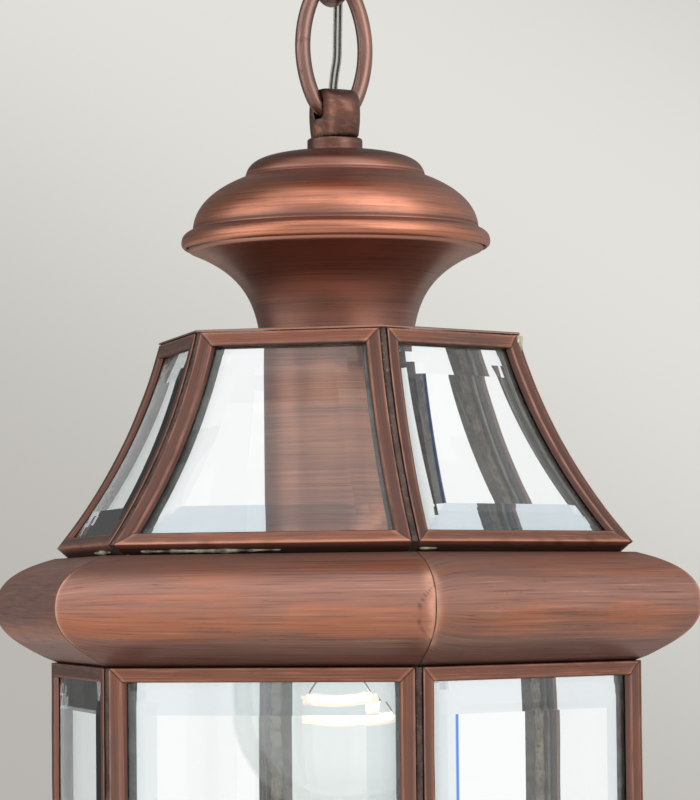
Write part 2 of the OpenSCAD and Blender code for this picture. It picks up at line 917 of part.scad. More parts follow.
// Smaller moulding under the body, open in the middle so that the bulb can be reached
module base_moulding() {
    outline = concat(
        [[body_a - 6, body_low_h - base_h]],
        curve([body_a - 1, body_low_h - base_h], [body_a + 6.5, body_low_h - base_h + 3],
            [body_a + 6.5, body_low_h - 4], [body_a - 0.4, body_low_h - 1.6], 12),
        [[body_a - 0.6, body_low_h], [body_a - 6, body_low_h]]
    );
    color("#8A5446")
        for (i = [1:PANES])
            moulding(i, outline);
}

crossbar();
ceiling_nipple();
ceiling_locknut();
terminal_block();
ceiling_canopy();
canopy_collar();
canopy_loop();
chain_link_3();
chain_link_2();
chain_link_1();
cord();
hang_loop();
loop_collar();
hang_nipple();
hang_locknut();
cap_dome();
cap_neck();
top_plate();
socket_tube();
lampholder_cap();
lampholder_shell();
bulb_cap();
bulb_glass();
bulb_filament();
for (i = [1:PANES]) roof_glass(i);
for (i = [1:PANES]) roof_frame(i);
roof_solder();
for (i = [1:PANES]) belt(i);
for (i = [1:PANES]) body_glass(i);
for (i = [1:PANES]) body_frame(i);
body_solder();
base_moulding();
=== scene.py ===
"""Hanging chain lantern: bevelled glass in copper came, hung on three links below a ceiling rose.

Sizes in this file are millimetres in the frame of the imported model, where z = 0 is the ceiling.
Heights named h are measured from the middle of the belt, which lies at LANTERN_Z, and JOINT_Z holds
the heights of the four hinges from the rose down. Meshes are written in metres.
"""

import logging
import math
from dataclasses import dataclass, field
from enum import Enum

import bmesh
import bpy
import numpy as np
from mathutils import Matrix, Vector


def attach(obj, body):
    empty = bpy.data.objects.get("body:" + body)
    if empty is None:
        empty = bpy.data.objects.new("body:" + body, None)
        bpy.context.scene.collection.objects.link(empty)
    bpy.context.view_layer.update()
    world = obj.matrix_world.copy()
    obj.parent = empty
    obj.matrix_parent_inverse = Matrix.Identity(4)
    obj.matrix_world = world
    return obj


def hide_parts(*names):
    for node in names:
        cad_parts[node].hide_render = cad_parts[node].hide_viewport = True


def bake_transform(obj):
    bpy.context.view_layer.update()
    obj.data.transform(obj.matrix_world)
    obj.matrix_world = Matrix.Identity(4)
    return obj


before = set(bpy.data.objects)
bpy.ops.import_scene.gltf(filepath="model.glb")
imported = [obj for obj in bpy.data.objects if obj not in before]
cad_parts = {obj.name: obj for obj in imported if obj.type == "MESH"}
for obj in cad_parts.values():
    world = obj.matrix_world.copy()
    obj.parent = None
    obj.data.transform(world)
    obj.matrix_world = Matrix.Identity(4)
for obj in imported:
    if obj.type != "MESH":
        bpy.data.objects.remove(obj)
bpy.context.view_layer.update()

LOG = logging.getLogger("lantern")
METRE = 0.001
PANES = 6
TAN30 = math.tan(math.radians(30))
COS30 = math.cos(math.radians(30))
LANTERN_Z = -348.7
CHAIN_TURN = 45.0
JOINT_Z = (-52.3, -92.25, -137.85, -177.8)
COLLAR_H = 4.4
DOME_TOP_H = 157.6
PLATE_H = 91.8
EAVES = (104.2 * COS30, 20.8)
BODY_A = 106.5 * COS30
BODY_TOP_H = -19.3
BODY_LENGTH = 190.0
CAME_D = 5.8
Array = np.ndarray


class Body(str, Enum):
    """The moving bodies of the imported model."""

    ROSE = "ceiling_rose"
    LINK_3 = "link_3"
    LINK_2 = "link_2"
    LINK_1 = "link_1"
    LANTERN = "lantern"


# Curves and outlines


def curve(a: tuple, b: tuple, c: tuple, d: tuple, steps: int = 24) -> Array:
    """Cubic curve s³a + 3s²t b + 3st² c + t³d, with t from 0 to 1 and s = 1 − t.

    Args:
        a, b, c, d: first point, the two points it is pulled towards, and last point.
        steps: number of equal steps of t.

    Returns:
        The points, one row each.
    """
    t = np.linspace(0.0, 1.0, steps + 1)[:, None]
    s = 1.0 - t
    a, b, c, d = (np.asarray(p, float) for p in (a, b, c, d))
    return s**3 * a + 3 * s * s * t * b + 3 * s * t * t * c + t**3 * d


def moved(line: Array, t: float) -> Array:
    """The line moved t to the left of its direction, which is taken between neighbours.

    Args:
        line: points of the plane, one row each.
        t: distance, negative for the right.

    Returns:
        The moved points.
    """
    before = np.vstack([line[:1], line[:-1]])
    after = np.vstack([line[1:], line[-1:]])
    d = after - before
    d /= np.linalg.norm(d, axis=1, keepdims=True)
    return line + t * np.column_stack([-d[:, 1], d[:, 0]])


def skin(line: Array, t: float) -> Array:
    """Closed outline of a sheet of thickness t along the line: the line, then the moved line back."""
    return np.vstack([line, moved(line, t)[::-1]])


def smooth_line(p: Array, steps: int) -> Array:
    """Curve through all points: 0.5(2p1 + (p2−p0)t + (2p0−5p1+4p2−p3)t² + (3p1−p0−3p2+p3)t³).

    Args:
        p: points to pass through, one row each.
        steps: points per stretch.

    Returns:
        The points of the curve, the last one included.
    """
    p = np.asarray(p, float)
    ends = np.vstack([p[:1], p, p[-1:]])
    p0, p1, p2, p3 = (ends[k : len(ends) - 3 + k, None, :] for k in range(4))
    t = (np.arange(steps) / steps)[None, :, None]
    q = 0.5 * (
        2 * p1
        + (p2 - p0) * t
        + (2 * p0 - 5 * p1 + 4 * p2 - p3) * t**2
        + (3 * p1 - p0 - 3 * p2 + p3) * t**3
    )
    return np.vstack([q.reshape(-1, p.shape[1]), p[-1:]])


def run_length(line: Array) -> Array:
    """Length along a line from its first point to each of its points."""
    return np.concatenate([[0.0], np.cumsum(np.linalg.norm(np.diff(line, axis=0), axis=1))])


def turned(points: Array, degrees: float) -> Array:
    """Points turned about the vertical: x' = x cos − y sin, y' = x sin + y cos."""
    a = math.radians(degrees)
    c, s = math.cos(a), math.sin(a)
    x, y, z = points.T
    return np.column_stack([c * x - s * y, s * x + c * y, z])


def lumps(points: Array, size: float, seed: int, waves: int = 14) -> Array:
    """Smooth pseudo-random height: the mean of sines of k·p + phase with random k near 2π / size.

    Args:
        points: places, one row each.
        size: typical width of a lump.
        seed: seed of the random draw.
        waves: number of sines.

    Returns:
        A height per point, mostly between −1 and 1.
    """
    rng = np.random.default_rng(seed)
    k = rng.normal(size=(points.shape[1], waves)) * 2 * np.pi / size / math.sqrt(points.shape[1])
    phase = rng.uniform(0, 2 * np.pi, waves)
    return np.sin(points @ k + phase).sum(axis=1) / math.sqrt(waves)


# Skins


@dataclass
class Skin:
    """A closed surface in millimetres: its points, faces, and named values per point."""

    points: Array
    faces: list
    values: dict = field(default_factory=dict)

    def placed(self, degrees: float = 0.0, lift: float = 0.0) -> "Skin":
        """A copy turned about the vertical and lifted."""
        points = turned(self.points, degrees) + np.array([0.0, 0.0, lift])
        return Skin(points, self.faces, self.values)

    def volume(self) -> float:
        """Sum of a·(b × c) / 6 over the triangles; above 0 where the faces point outwards."""
        total = 0.0
        for n in sorted({len(f) for f in self.faces}):
            f = np.array([g for g in self.faces if len(g) == n])
            for k in range(1, n - 1):
                a, b, c = (self.points[f[:, j]] for j in (0, k, k + 1))
                total += float(np.einsum("ij,ij->", a, np.cross(b, c))) / 6.0
        return total

    def outward(self) -> "Skin":
        """The same skin with its faces pointing outwards."""
        if self.volume() >= 0:
            return self
        return Skin(self.points, [f[::-1] for f in self.faces], self.values)


def joined(skins: list) -> Skin:
    """One skin from several, side by side; a value that a skin lacks is 0 there."""
    names = sorted({n for s in skins for n in s.values})
    points = np.vstack([s.points for s in skins])
    values = {
        n: np.concatenate([s.values.get(n, np.zeros(len(s.points))) for s in skins]) for n in names
    }
    faces, start = [], 0
    for s in skins:
        faces += [[v + start for v in f] for f in s.faces]
        start += len(s.points)
    return Skin(points, faces, values)


def cells(rows: int, cols: int, close_rows: bool = False, close_cols: bool = False) -> list:
    """Quads of a grid of points, row by row; a closed direction joins its last line to its first."""
    r, c = np.meshgrid(
        np.arange(rows if close_rows else rows - 1),
        np.arange(cols if close_cols else cols - 1),
        indexing="ij",
    )
    r1, c1 = (r + 1) % rows, (c + 1) % cols
    quads = np.stack([r * cols + c, r * cols + c1, r1 * cols + c1, r1 * cols + c], axis=-1)
    return quads.reshape(-1, 4).tolist()


def revolved(outline: Array, steps: int = 144, close: bool = True) -> Skin:
    """Outline of (radius, height) turned about the vertical: (r cos a, r sin a, h).

    Args:
        outline: closed outline, one row per point.
        steps: number of positions of a round the axis.
        close: whether the outline's last point joins its first.

    Returns:
        The skin, with "across" as the length along the outline.
    """
    a = np.linspace(0, 2 * np.pi, steps, endpoint=False)[:, None]
    r, h = outline[None, :, 0], outline[None, :, 1]
    points = np.stack([r * np.cos(a), r * np.sin(a), h + 0 * a], axis=-1).reshape(-1, 3)
    across = np.tile(run_length(outline), steps)
    faces = cells(steps, len(outline), close_rows=True, close_cols=close)
    return Skin(points, faces, {"across": across}).outward()


def tube(path: Array, section: Array, up: tuple, capped: bool = True) -> Skin:
    """Section carried along a path: p + x u + y v, with v = t × up, u = v × t and t the direction.

    Args:
        path: points of the middle line.
        section: closed outline in the plane square to the path, one row per point.
        up: direction that is never along the path.
        capped: whether both ends get a face; otherwise the path is a closed ring.

    Returns:
        The skin, with "across" as the length along the section and "along" along the path.
    """
    if capped:
        t = np.gradient(path, axis=0)
    else:
        t = np.roll(path, -1, axis=0) - np.roll(path, 1, axis=0)
    t /= np.linalg.norm(t, axis=1, keepdims=True)
    v = np.cross(t, np.asarray(up, float))
    v /= np.linalg.norm(v, axis=1, keepdims=True)
    u = np.cross(v, t)
    points = path[:, None] + section[None, :, :1] * u[:, None] + section[None, :, 1:] * v[:, None]
    rows, cols = len(path), len(section)
    faces = cells(rows, cols, close_rows=not capped, close_cols=True)
    if capped:
        faces += [list(range(cols))[::-1], [(rows - 1) * cols + k for k in range(cols)]]
    values = {
        "across": np.tile(run_length(section), rows),
        "along": np.repeat(run_length(path), cols),
    }
    return Skin(points.reshape(-1, 3), faces, values).outward()


def circle(radius: float, sides: int) -> Array:
    """Points (r cos a, r sin a) of a circle."""
    a = np.linspace(0, 2 * np.pi, sides, endpoint=False)
    return radius * np.column_stack([np.cos(a), np.sin(a)])


# Shader arithmetic


class Value:
    """A number socket that takes part in Python arithmetic; each operation adds a Math node."""

    def __init__(self, shader: "Shader", socket: bpy.types.NodeSocket) -> None:
        """Keeps the shader that the nodes go to and the socket that holds the number."""
        self.shader = shader
        self.socket = socket

    def _math(self, operation: str, *values: "Value | float") -> "Value":
        """One Math node on the values."""
        return self.shader.number("ShaderNodeMath", {"operation": operation}, list(values))

    def __add__(self, other: "Value | float") -> "Value":
        """self + other."""
        return self._math("ADD", self, other)

    def __sub__(self, other: "Value | float") -> "Value":
        """self − other."""
        return self._math("SUBTRACT", self, other)

    def __rsub__(self, other: float) -> "Value":
        """other − self."""
        return self._math("SUBTRACT", other, self)

    def __mul__(self, other: "Value | float") -> "Value":
        """self × other."""
        return self._math("MULTIPLY", self, other)

    def __truediv__(self, other: "Value | float") -> "Value":
        """self / other."""
        return self._math("DIVIDE", self, other)

    def __abs__(self) -> "Value":
        """Size of self without its sign."""
        return self._math("ABSOLUTE", self)

    __radd__ = __add__

    def above(self, low: float, high: float) -> "Value":
        """0 below low, 1 above high, and a smooth step between; the other way where low > high."""
        return self.shader.number(
            "ShaderNodeMapRange",
            {"interpolation_type": "SMOOTHSTEP", "clamp": True},
            {"Value": self, "From Min": low, "From Max": high},
        )

    def most(self, other: "Value | float") -> "Value":
        """The larger of the two."""
        return self._math("MAXIMUM", self, other)

    def least(self, other: "Value | float") -> "Value":
        """The smaller of the two."""
        return self._math("MINIMUM", self, other)


class Shader:
    """The node tree of a material or of the surrounding, built by calls."""

    def __init__(self, name: str, world: bool = False) -> None:
        """Makes an empty material of that name, or an empty surrounding."""
        self.holder = (bpy.data.worlds if world else bpy.data.materials).new(name)
        self.holder.use_nodes = True
        self.tree = self.holder.node_tree
        self.tree.nodes.clear()
        kind = "ShaderNodeOutputWorld" if world else "ShaderNodeOutputMaterial"
        self.output = self.node(kind, {}, {})

    def node(self, kind: str, settings: dict, values: "dict | list") -> bpy.types.Node:
        """Adds a node.

        Args:
            kind: the node's type.
            settings: its properties, which are set first.
            values: values or links of its sockets, by name or in order.

        Returns:
            The node.
        """
        node = self.tree.nodes.new(kind)
        for key, value in settings.items():
            setattr(node, key, value)
        pairs = values.items() if isinstance(values, dict) else enumerate(values)
        for key, value in pairs:
            if value is None:
                continue
            socket = node.inputs[key]
            if isinstance(value, Value):
                self.tree.links.new(value.socket, socket)
            elif isinstance(value, bpy.types.NodeSocket):
                self.tree.links.new(value, socket)
            elif isinstance(value, (tuple, list)) and len(value) == 3 and socket.type == "RGBA":
                socket.default_value = (*value, 1.0)
            else:
                socket.default_value = value
        return node

    def number(self, kind: str, settings: dict, values: "dict | list", out: "str | int" = 0) -> Value:
        """Adds a node and wraps one of its outputs as a number."""
        return Value(self, self.node(kind, settings, values).outputs[out])

    def value(self, name: str) -> Value:
        """The number that the mesh holds under this name."""
        return self.number("ShaderNodeAttribute", {"attribute_name": name}, {}, "Fac")

    def place(self) -> bpy.types.NodeSocket:
        """Object coordinates, in metres."""
        return self.node("ShaderNodeTexCoord", {}, {}).outputs["Object"]

    def xyz(self, x: "Value | float", y: "Value | float", z: "Value | float") -> bpy.types.NodeSocket:
        """A vector from three numbers."""
        return self.node("ShaderNodeCombineXYZ", {}, [x, y, z]).outputs[0]

    def split(self, vector: bpy.types.NodeSocket) -> tuple:
        """The three numbers of a vector."""
        outputs = self.node("ShaderNodeSeparateXYZ", {}, [vector]).outputs
        return tuple(Value(self, o) for o in outputs)

    def noise(
        self, where: bpy.types.NodeSocket, scale: float, detail: float = 3.0, rough: float = 0.55
    ) -> Value:
        """Noise of about 0.5, with its largest waves 1 / scale wide."""
        return self.number(
            "ShaderNodeTexNoise",
            {"noise_dimensions": "3D"},
            {"Vector": where, "Scale": scale, "Detail": detail, "Roughness": rough},
        )

    def brushed(
        self, across: Value, width: float, length: float, detail: float = 3.0
    ) -> Value:
        """Noise drawn out along the brushing.

        Args:
            across: length along the outline, square to the brushing.
            width: width of a mark.
            length: length of a mark.
            detail: number of finer waves.

        Returns:
            The noise, about 0.5.
        """
        x, y, z = self.split(self.place())
        reach = 1.0 / (length * METRE)
        where = self.xyz(x * reach, y * reach, across * (1.0 / width) + z * reach)
        return self.noise(where, 1.0, detail, 0.6)

    def mixed(self, share: "Value | float", a: object, b: object) -> bpy.types.NodeSocket:
        """Colour a where the share is 0 and b where it is 1."""
        node = self.node("ShaderNodeMix", {"data_type": "RGBA"}, {"Factor": share})
        for name, colour in (("A_Color", a), ("B_Color", b)):
            socket = next(s for s in node.inputs if s.identifier == name)
            if isinstance(colour, bpy.types.NodeSocket):
                self.tree.links.new(colour, socket)
            else:
                socket.default_value = (*colour, 1.0)
        return next(s for s in node.outputs if s.identifier == "Result_Color")

    def bump(self, height: Value, depth: float, normal: object = None) -> bpy.types.NodeSocket:
        """Normal that shows a height of 0 to 1 as a relief of that depth in millimetres."""
        return self.node(
            "ShaderNodeBump",
            {},
            {"Height": height, "Distance": depth * METRE, "Strength": 1.0, "Normal": normal},
        ).outputs[0]

    def surface(self, shader: bpy.types.NodeSocket) -> bpy.types.ID:
        """Puts a shader on the surface and returns the material or surrounding."""
        self.tree.links.new(shader, self.output.inputs["Surface"])
        return self.holder

    def principled(self, **values: object) -> bpy.types.NodeSocket:
        """A Principled shader; a socket's name has underscores for its spaces."""
        named = {k.replace("_", " "): v for k, v in values.items()}
        return self.node("ShaderNodeBsdfPrincipled", {}, named).outputs[0]


def tone(red: int, green: int, blue: int) -> tuple:
    """A colour as it looks, 0 to 255, as linear light: ((c + 0.055) / 1.055)^2.4 above 0.04."""
    c = np.array([red, green, blue]) / 255.0
    return tuple(np.where(c <= 0.04045, c / 12.92, ((c + 0.055) / 1.055) ** 2.4).tolist())


# Finishes


@dataclass(frozen=True)
class AgedCopper:
    """Copper under a brown patina: broad bands, fine lines and dark flecks along the brushing.

    The pairs are the width and the length of a pattern's marks in millimetres.
    """

    name: str
    bright: tuple = tone(230, 158, 128)
    warm: tuple = tone(190, 114, 84)
    dull: tuple = tone(150, 113, 101)
    dark: tuple = tone(88, 58, 52)
    roughness: float = 0.34
    patina: float = 0.85
    contrast: float = 0.55
    band: tuple = (8.0, 170.0)
    line: tuple = (0.8, 36.0)
    fleck: tuple = (0.55, 10.0)
    coat: float = 0.22
    anisotropy: float = 0.0

    def tinned(self, s: "Shader", place: bpy.types.NodeSocket) -> bpy.types.NodeSocket:
        """Colour of the solder film: grey, with beige runs and dark specks."""
        runs = s.brushed(s.value("across"), 1.3, 26.0, 3.0)
        cloud = s.noise(place, 140.0, 4.0, 0.6)
        speck = s.noise(place, 620.0, 3.0, 0.7)
        grey = s.mixed(cloud.above(0.38, 0.62), tone(112, 114, 110), tone(78, 82, 80))
        grey = s.mixed(runs.above(0.56, 0.7) * 0.8, grey, tone(178, 168, 146))
        return s.mixed(speck.above(0.6, 0.7) * 0.7, grey, tone(48, 46, 44))

    def make(self) -> bpy.types.Material:
        """The material.

        It reads "across", the length along the outline, and four shares from 0 to 1: "edge" for
        brighter metal, worn in places and a painted highlight on some edges; "seam" for a dark joint
        and for painted shade in gaps and recesses; "tin" for a film of solder; "aged" for more
        patina and for painted shade in the gap under the eaves.
        """
        s = Shader(self.name)
        place = s.place()
        across = s.value("across")
        cloud = s.noise(place, 26.0, 4.0, 0.6)
        bands = s.brushed(across, *self.band, 3.0)
        lines = s.brushed(across, *self.line, 4.0)
        flecks = s.brushed(across, *self.fleck, 2.0)
        speck = s.noise(place, 900.0, 2.0, 0.6)
        old = (bands * 0.6 + cloud * 0.4 + s.value("aged") * 0.16).above(0.42, 0.58)
        base = s.mixed(old * self.patina, self.warm, self.dull)
        base = s.mixed(lines.above(0.50, 0.26) * self.contrast, base, self.dark)
        base = s.mixed(lines.above(0.52, 0.78) * self.contrast * 0.8, base, self.bright)
        base = s.mixed(flecks.above(0.32, 0.24) * self.contrast, base, tone(58, 38, 36))
        base = s.mixed(speck.above(0.69, 0.8) * 0.35, base, tone(60, 40, 36))
        # Darker where the age share is high: patina, and painted shade in the gap under the eaves.
        base = s.mixed(s.value("aged").above(0.7, 1.0) * 0.5, base, self.dark)
        # Brighter where the edge share is: worn metal, and painted highlight on some edges.
        worn = s.value("edge") * (0.55 + lines * 0.5)
        base = s.mixed(worn.least(1.0), base, self.bright)
        tin = s.value("tin")
        base = s.mixed(tin, base, self.tinned(s, place))
        # Darkest at joints, and as painted shade in gaps and recesses.
        seam = s.value("seam")
        base = s.mixed(seam, base, tone(40, 31, 30))
        rough = self.roughness + old * 0.06 + lines * 0.05 + seam * 0.25 + tin * 0.12
        relief = s.bump(lines * 0.8 + flecks * 0.3, 0.016)
        return s.surface(
            s.principled(
                Base_Color=base,
                Metallic=1.0 - tin * 0.45 - seam * 0.4,
                Roughness=rough,
                Anisotropic=self.anisotropy,
                Coat_Weight=self.coat,
                Coat_Roughness=0.18,
                Normal=relief,
            )
        )


@dataclass(frozen=True)
class ClearGlass:
    """Clear glass that lets the lamps through, greener where it is seen at a flat angle.

    Behind another glass it is calmer: a share of the light goes straight through.
    """

    name: str
    body: tuple = (0.985, 0.992, 0.992)
    # Painted shade: bevel and edge stand in for the darker things the cut bevels and the rim show; blue is
    # a painted line of split light.
    bevel: tuple = (0.50, 0.58, 0.66)
    edge: tuple = (0.13, 0.17, 0.16)
    green: tuple = (0.86, 0.93, 0.90)
    blue: tuple = tone(10, 84, 232)
    index: float = 1.5
    roughness: float = 0.0
    calm: float = 0.93

    def make(self) -> bpy.types.Material:
        """The material.

        It reads "bevel", a painted shade on the cut bevels, and "edge", a painted shade near the rim.
        Where "inset", the share of the way over the left bevel, is "split", a blue line is painted, as a
        cut splits light.
        A mesh without "split" has 0 there and gets no line.
        """
        s = Shader(self.name)
        path = s.node("ShaderNodeLightPath", {}, {}).outputs
        behind = Value(s, path["Transmission Depth"]).above(1.4, 1.6)
        front = 1.0 - behind
        facing = s.number("ShaderNodeLayerWeight", {}, {"Blend": 0.5}, "Facing")
        colour = s.mixed(facing.above(0.45, 0.95), self.body, self.green)
        # Painted shade on the bevels and near the rim, on the first glass passed only.
        colour = s.mixed(s.value("bevel") * front, colour, self.bevel)
        colour = s.mixed(s.value("edge") * front, colour, self.edge)
        off = abs(s.value("inset") - s.value("split"))
        lined = off.above(0.07, 0.02) * s.value("split").above(0.0, 0.1)
        colour = s.mixed(lined, colour, self.blue)
        glass = s.principled(
            Base_Color=colour,
            Roughness=self.roughness,
            IOR=self.index,
            Transmission_Weight=1.0,
        )
        share = (behind * self.calm).most(Value(s, path["Is Shadow Ray"]))
        clear = s.node("ShaderNodeBsdfTransparent", {}, {"Color": (0.96, 0.97, 0.965)}).outputs[0]
        return s.surface(s.node("ShaderNodeMixShader", {}, [share, glass, clear]).outputs[0])


@dataclass(frozen=True)
class Solder:
    """Grey solder with beige runs and dark specks; "aged" darkens it, also as painted shade, and "pale"
    whitens it.
    """

    name: str = "solder_grey"

    def make(self) -> bpy.types.Material:
        """The material."""
        s = Shader(self.name)
        place = s.place()
        cloud = s.noise(place, 170.0, 4.0, 0.65)
        speck = s.noise(place, 800.0, 3.0, 0.7)
        base = s.mixed(cloud.above(0.4, 0.62), tone(158, 152, 136), tone(118, 116, 108))
        base = s.mixed(speck.above(0.57, 0.66), base, tone(66, 60, 54))
        # Dark solder, also painted shade for the strip deep in the corner gaps.
        dark = s.mixed(cloud.above(0.42, 0.66), tone(84, 66, 60), tone(52, 42, 40))
        dark = s.mixed(speck.above(0.60, 0.70), dark, tone(128, 116, 108))
        base = s.mixed(s.value("aged"), base, dark)
        pale = s.mixed(cloud.above(0.44, 0.6), tone(196, 196, 166), tone(150, 156, 134))
        base = s.mixed(s.value("pale"), base, pale)
        return s.surface(
            s.principled(
                Base_Color=base,
                Metallic=0.35,
                Roughness=0.45 + cloud * 0.2,
                Normal=s.bump(cloud + speck * 0.5, 0.22),
            )
        )


@dataclass(frozen=True)
class PlainMetal:
    """A plain metal with light wear, for threaded and pressed parts."""

    name: str
    colour: tuple
    worn: tuple
    roughness: float = 0.3

    def make(self) -> bpy.types.Material:
        """The material."""
        s = Shader(self.name)
        place = s.place()
        cloud = s.noise(place, 60.0, 4.0, 0.6)
        fine = s.noise(place, 900.0, 2.0, 0.5)
        base = s.mixed(cloud.above(0.4, 0.7), self.colour, self.worn)
        return s.surface(
            s.principled(
                Base_Color=base,
                Metallic=1.0,
                Roughness=self.roughness + fine * 0.12,
                Normal=s.bump(fine, 0.02),
            )
        )


@dataclass(frozen=True)
class Moulded:
    """Moulded white plastic or glazed ceramic with a faint mottle."""

    name: str
    colour: tuple
    roughness: float = 0.4

    def make(self) -> bpy.types.Material:
        """The material."""
        s = Shader(self.name)
        cloud = s.noise(s.place(), 40.0, 3.0, 0.5)
        darker = tuple(0.86 * c for c in self.colour)
        base = s.mixed(cloud.above(0.35, 0.75) * 0.5, self.colour, darker)
        return s.surface(
            s.principled(
                Base_Color=base,
                Roughness=self.roughness + cloud * 0.1,
                Normal=s.bump(s.noise(s.place(), 500.0, 2.0), 0.015),
            )
        )


@dataclass(frozen=True)
class Glowing:
    """The lit wire of the bulb."""

    name: str = "filament_glow"
    colour: tuple = tone(255, 200, 140)
    strength: float = 8.0

    def make(self) -> bpy.types.Material:
        """The material."""
        s = Shader(self.name)
        return s.surface(
            s.principled(
                Base_Color=tone(120, 100, 80),
                Roughness=0.5,
                Emission_Color=self.colour,
                Emission_Strength=self.strength,
            )
        )


@dataclass
class Finishes:
    """Every finish of the lantern, made once."""

    belt: bpy.types.Material = None
    dome: bpy.types.Material = None
    neck: bpy.types.Material = None
    bars: bpy.types.Material = None
    cast: bpy.types.Material = None
    links: bpy.types.Material = None
    tube: bpy.types.Material = None
    solder: bpy.types.Material = None
    pane: bpy.types.Material = None
    bulb: bpy.types.Material = None
    sleeve: bpy.types.Material = None
    core: bpy.types.Material = None
    brass: bpy.types.Material = None
    steel: bpy.types.Material = None
    white: bpy.types.Material = None
    glow: bpy.types.Material = None

    @classmethod
    def made(cls) -> "Finishes":
        """All finishes, ready to use."""
        return cls(
            belt=AgedCopper(
                "copper_rolled", warm=tone(188, 124, 98), dull=tone(154, 118, 107),
                bright=tone(226, 170, 144), roughness=0.4,
            ).make(),
            dome=AgedCopper(
                "copper_spun", warm=tone(188, 122, 96), dull=tone(148, 104, 90), patina=0.8,
                line=(0.7, 30.0), roughness=0.3, anisotropy=0.4,
            ).make(),
            neck=AgedCopper(
                "copper_neck", warm=tone(164, 126, 112), dull=tone(146, 116, 106), contrast=0.4,
                line=(0.6, 50.0), roughness=0.32, anisotropy=0.4,
            ).make(),
            bars=AgedCopper(
                "copper_came", warm=tone(136, 90, 74), dull=tone(108, 84, 76),
                bright=tone(206, 146, 122), line=(0.5, 26.0), fleck=(0.4, 6.0), contrast=0.6,
                roughness=0.44,
            ).make(),
            cast=AgedCopper(
                "copper_cast", warm=tone(118, 80, 68), dull=tone(90, 70, 64),
                line=(3.0, 5.0), fleck=(0.9, 1.2), roughness=0.4,
            ).make(),
            links=AgedCopper(
                "copper_link", warm=tone(140, 104, 92), dull=tone(116, 92, 86),
                line=(1.6, 9.0), fleck=(0.9, 2.0), roughness=0.3, coat=0.5,
            ).make(),
            tube=AgedCopper(
                "copper_tube", warm=tone(176, 122, 98), dull=tone(140, 100, 88), roughness=0.36,
                contrast=0.6, line=(0.4, 60.0), fleck=(0.3, 30.0), coat=0.1, anisotropy=0.5,
            ).make(),
            solder=Solder().make(),
            pane=ClearGlass("glass_bevelled").make(),
            bulb=ClearGlass("glass_bulb", body=(0.995, 0.998, 0.998), index=1.2).make(),
            sleeve=ClearGlass(
                "cord_sleeve", body=(0.44, 0.43, 0.40), green=(0.36, 0.35, 0.33), index=1.25,
                roughness=0.2, calm=0.0,
            ).make(),
            core=PlainMetal("cord_core", tone(132, 128, 122), tone(98, 92, 86), 0.4).make(),
            brass=PlainMetal("brass_raw", tone(214, 178, 104), tone(176, 140, 84)).make(),
            steel=PlainMetal("steel_plated", tone(196, 198, 202), tone(160, 160, 164)).make(),
            white=Moulded("white_moulded", tone(236, 234, 226)).make(),
            glow=Glowing().make(),
        )


# Pieces


@dataclass
class Maker:
    """Puts skins into the scene as pieces of the lantern."""

    finishes: Finishes
    count: int = 0

    def piece(
        self,
        name: str,
        shape: "Skin | list",
        finish: bpy.types.Material,
        body: "Body | None",
        nodes: tuple = (),
        sharp: float = 35.0,
        weld: bool = False,
    ) -> bpy.types.Object:
        """Makes one object at the origin from a skin.

        Args:
            name: name of the piece.
            shape: its skin, or several that become one piece.
            finish: its material.
            body: the body it rides on, or None for a piece that rides on none.
            nodes: the CAD nodes it stands for.
            sharp: angle in degrees past which an edge stays sharp.
            weld: whether points at one place become one, as at a pole.

        Returns:
            The object.
        """
        whole = shape if isinstance(shape, Skin) else joined(shape)
        mesh = bpy.data.meshes.new(name)
        mesh.from_pydata((whole.points * METRE).tolist(), [], whole.faces)
        for key, values in whole.values.items():
            layer = mesh.attributes.new(key, "FLOAT", "POINT")
            layer.data.foreach_set("value", np.ascontiguousarray(values, np.float32))
        if weld:
            work = bmesh.new()
            work.from_mesh(mesh)
            bmesh.ops.remove_doubles(work, verts=work.verts, dist=2e-6)
            bmesh.ops.dissolve_degenerate(work, edges=work.edges, dist=1e-6)
            work.to_mesh(mesh)
            work.free()
        mesh.shade_smooth()
        mesh.set_sharp_from_angle(angle=math.radians(sharp))
        mesh.materials.append(finish)
        thing = bpy.data.objects.new(name, mesh)
        bpy.context.scene.collection.objects.link(thing)
        if body is not None:
            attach(thing, body.value)
        if nodes:
            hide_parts(*nodes)
        self.count += 1
        LOG.info("%s: %d faces", name, len(mesh.polygons))
        return thing

    def dress(self, node: str, finish: bpy.types.Material) -> None:
        """Gives a CAD node that stays a better finish."""
        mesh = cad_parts[node].data
        mesh.materials.clear()
        mesh.materials.append(finish)
        LOG.info("%s: dressed", node)


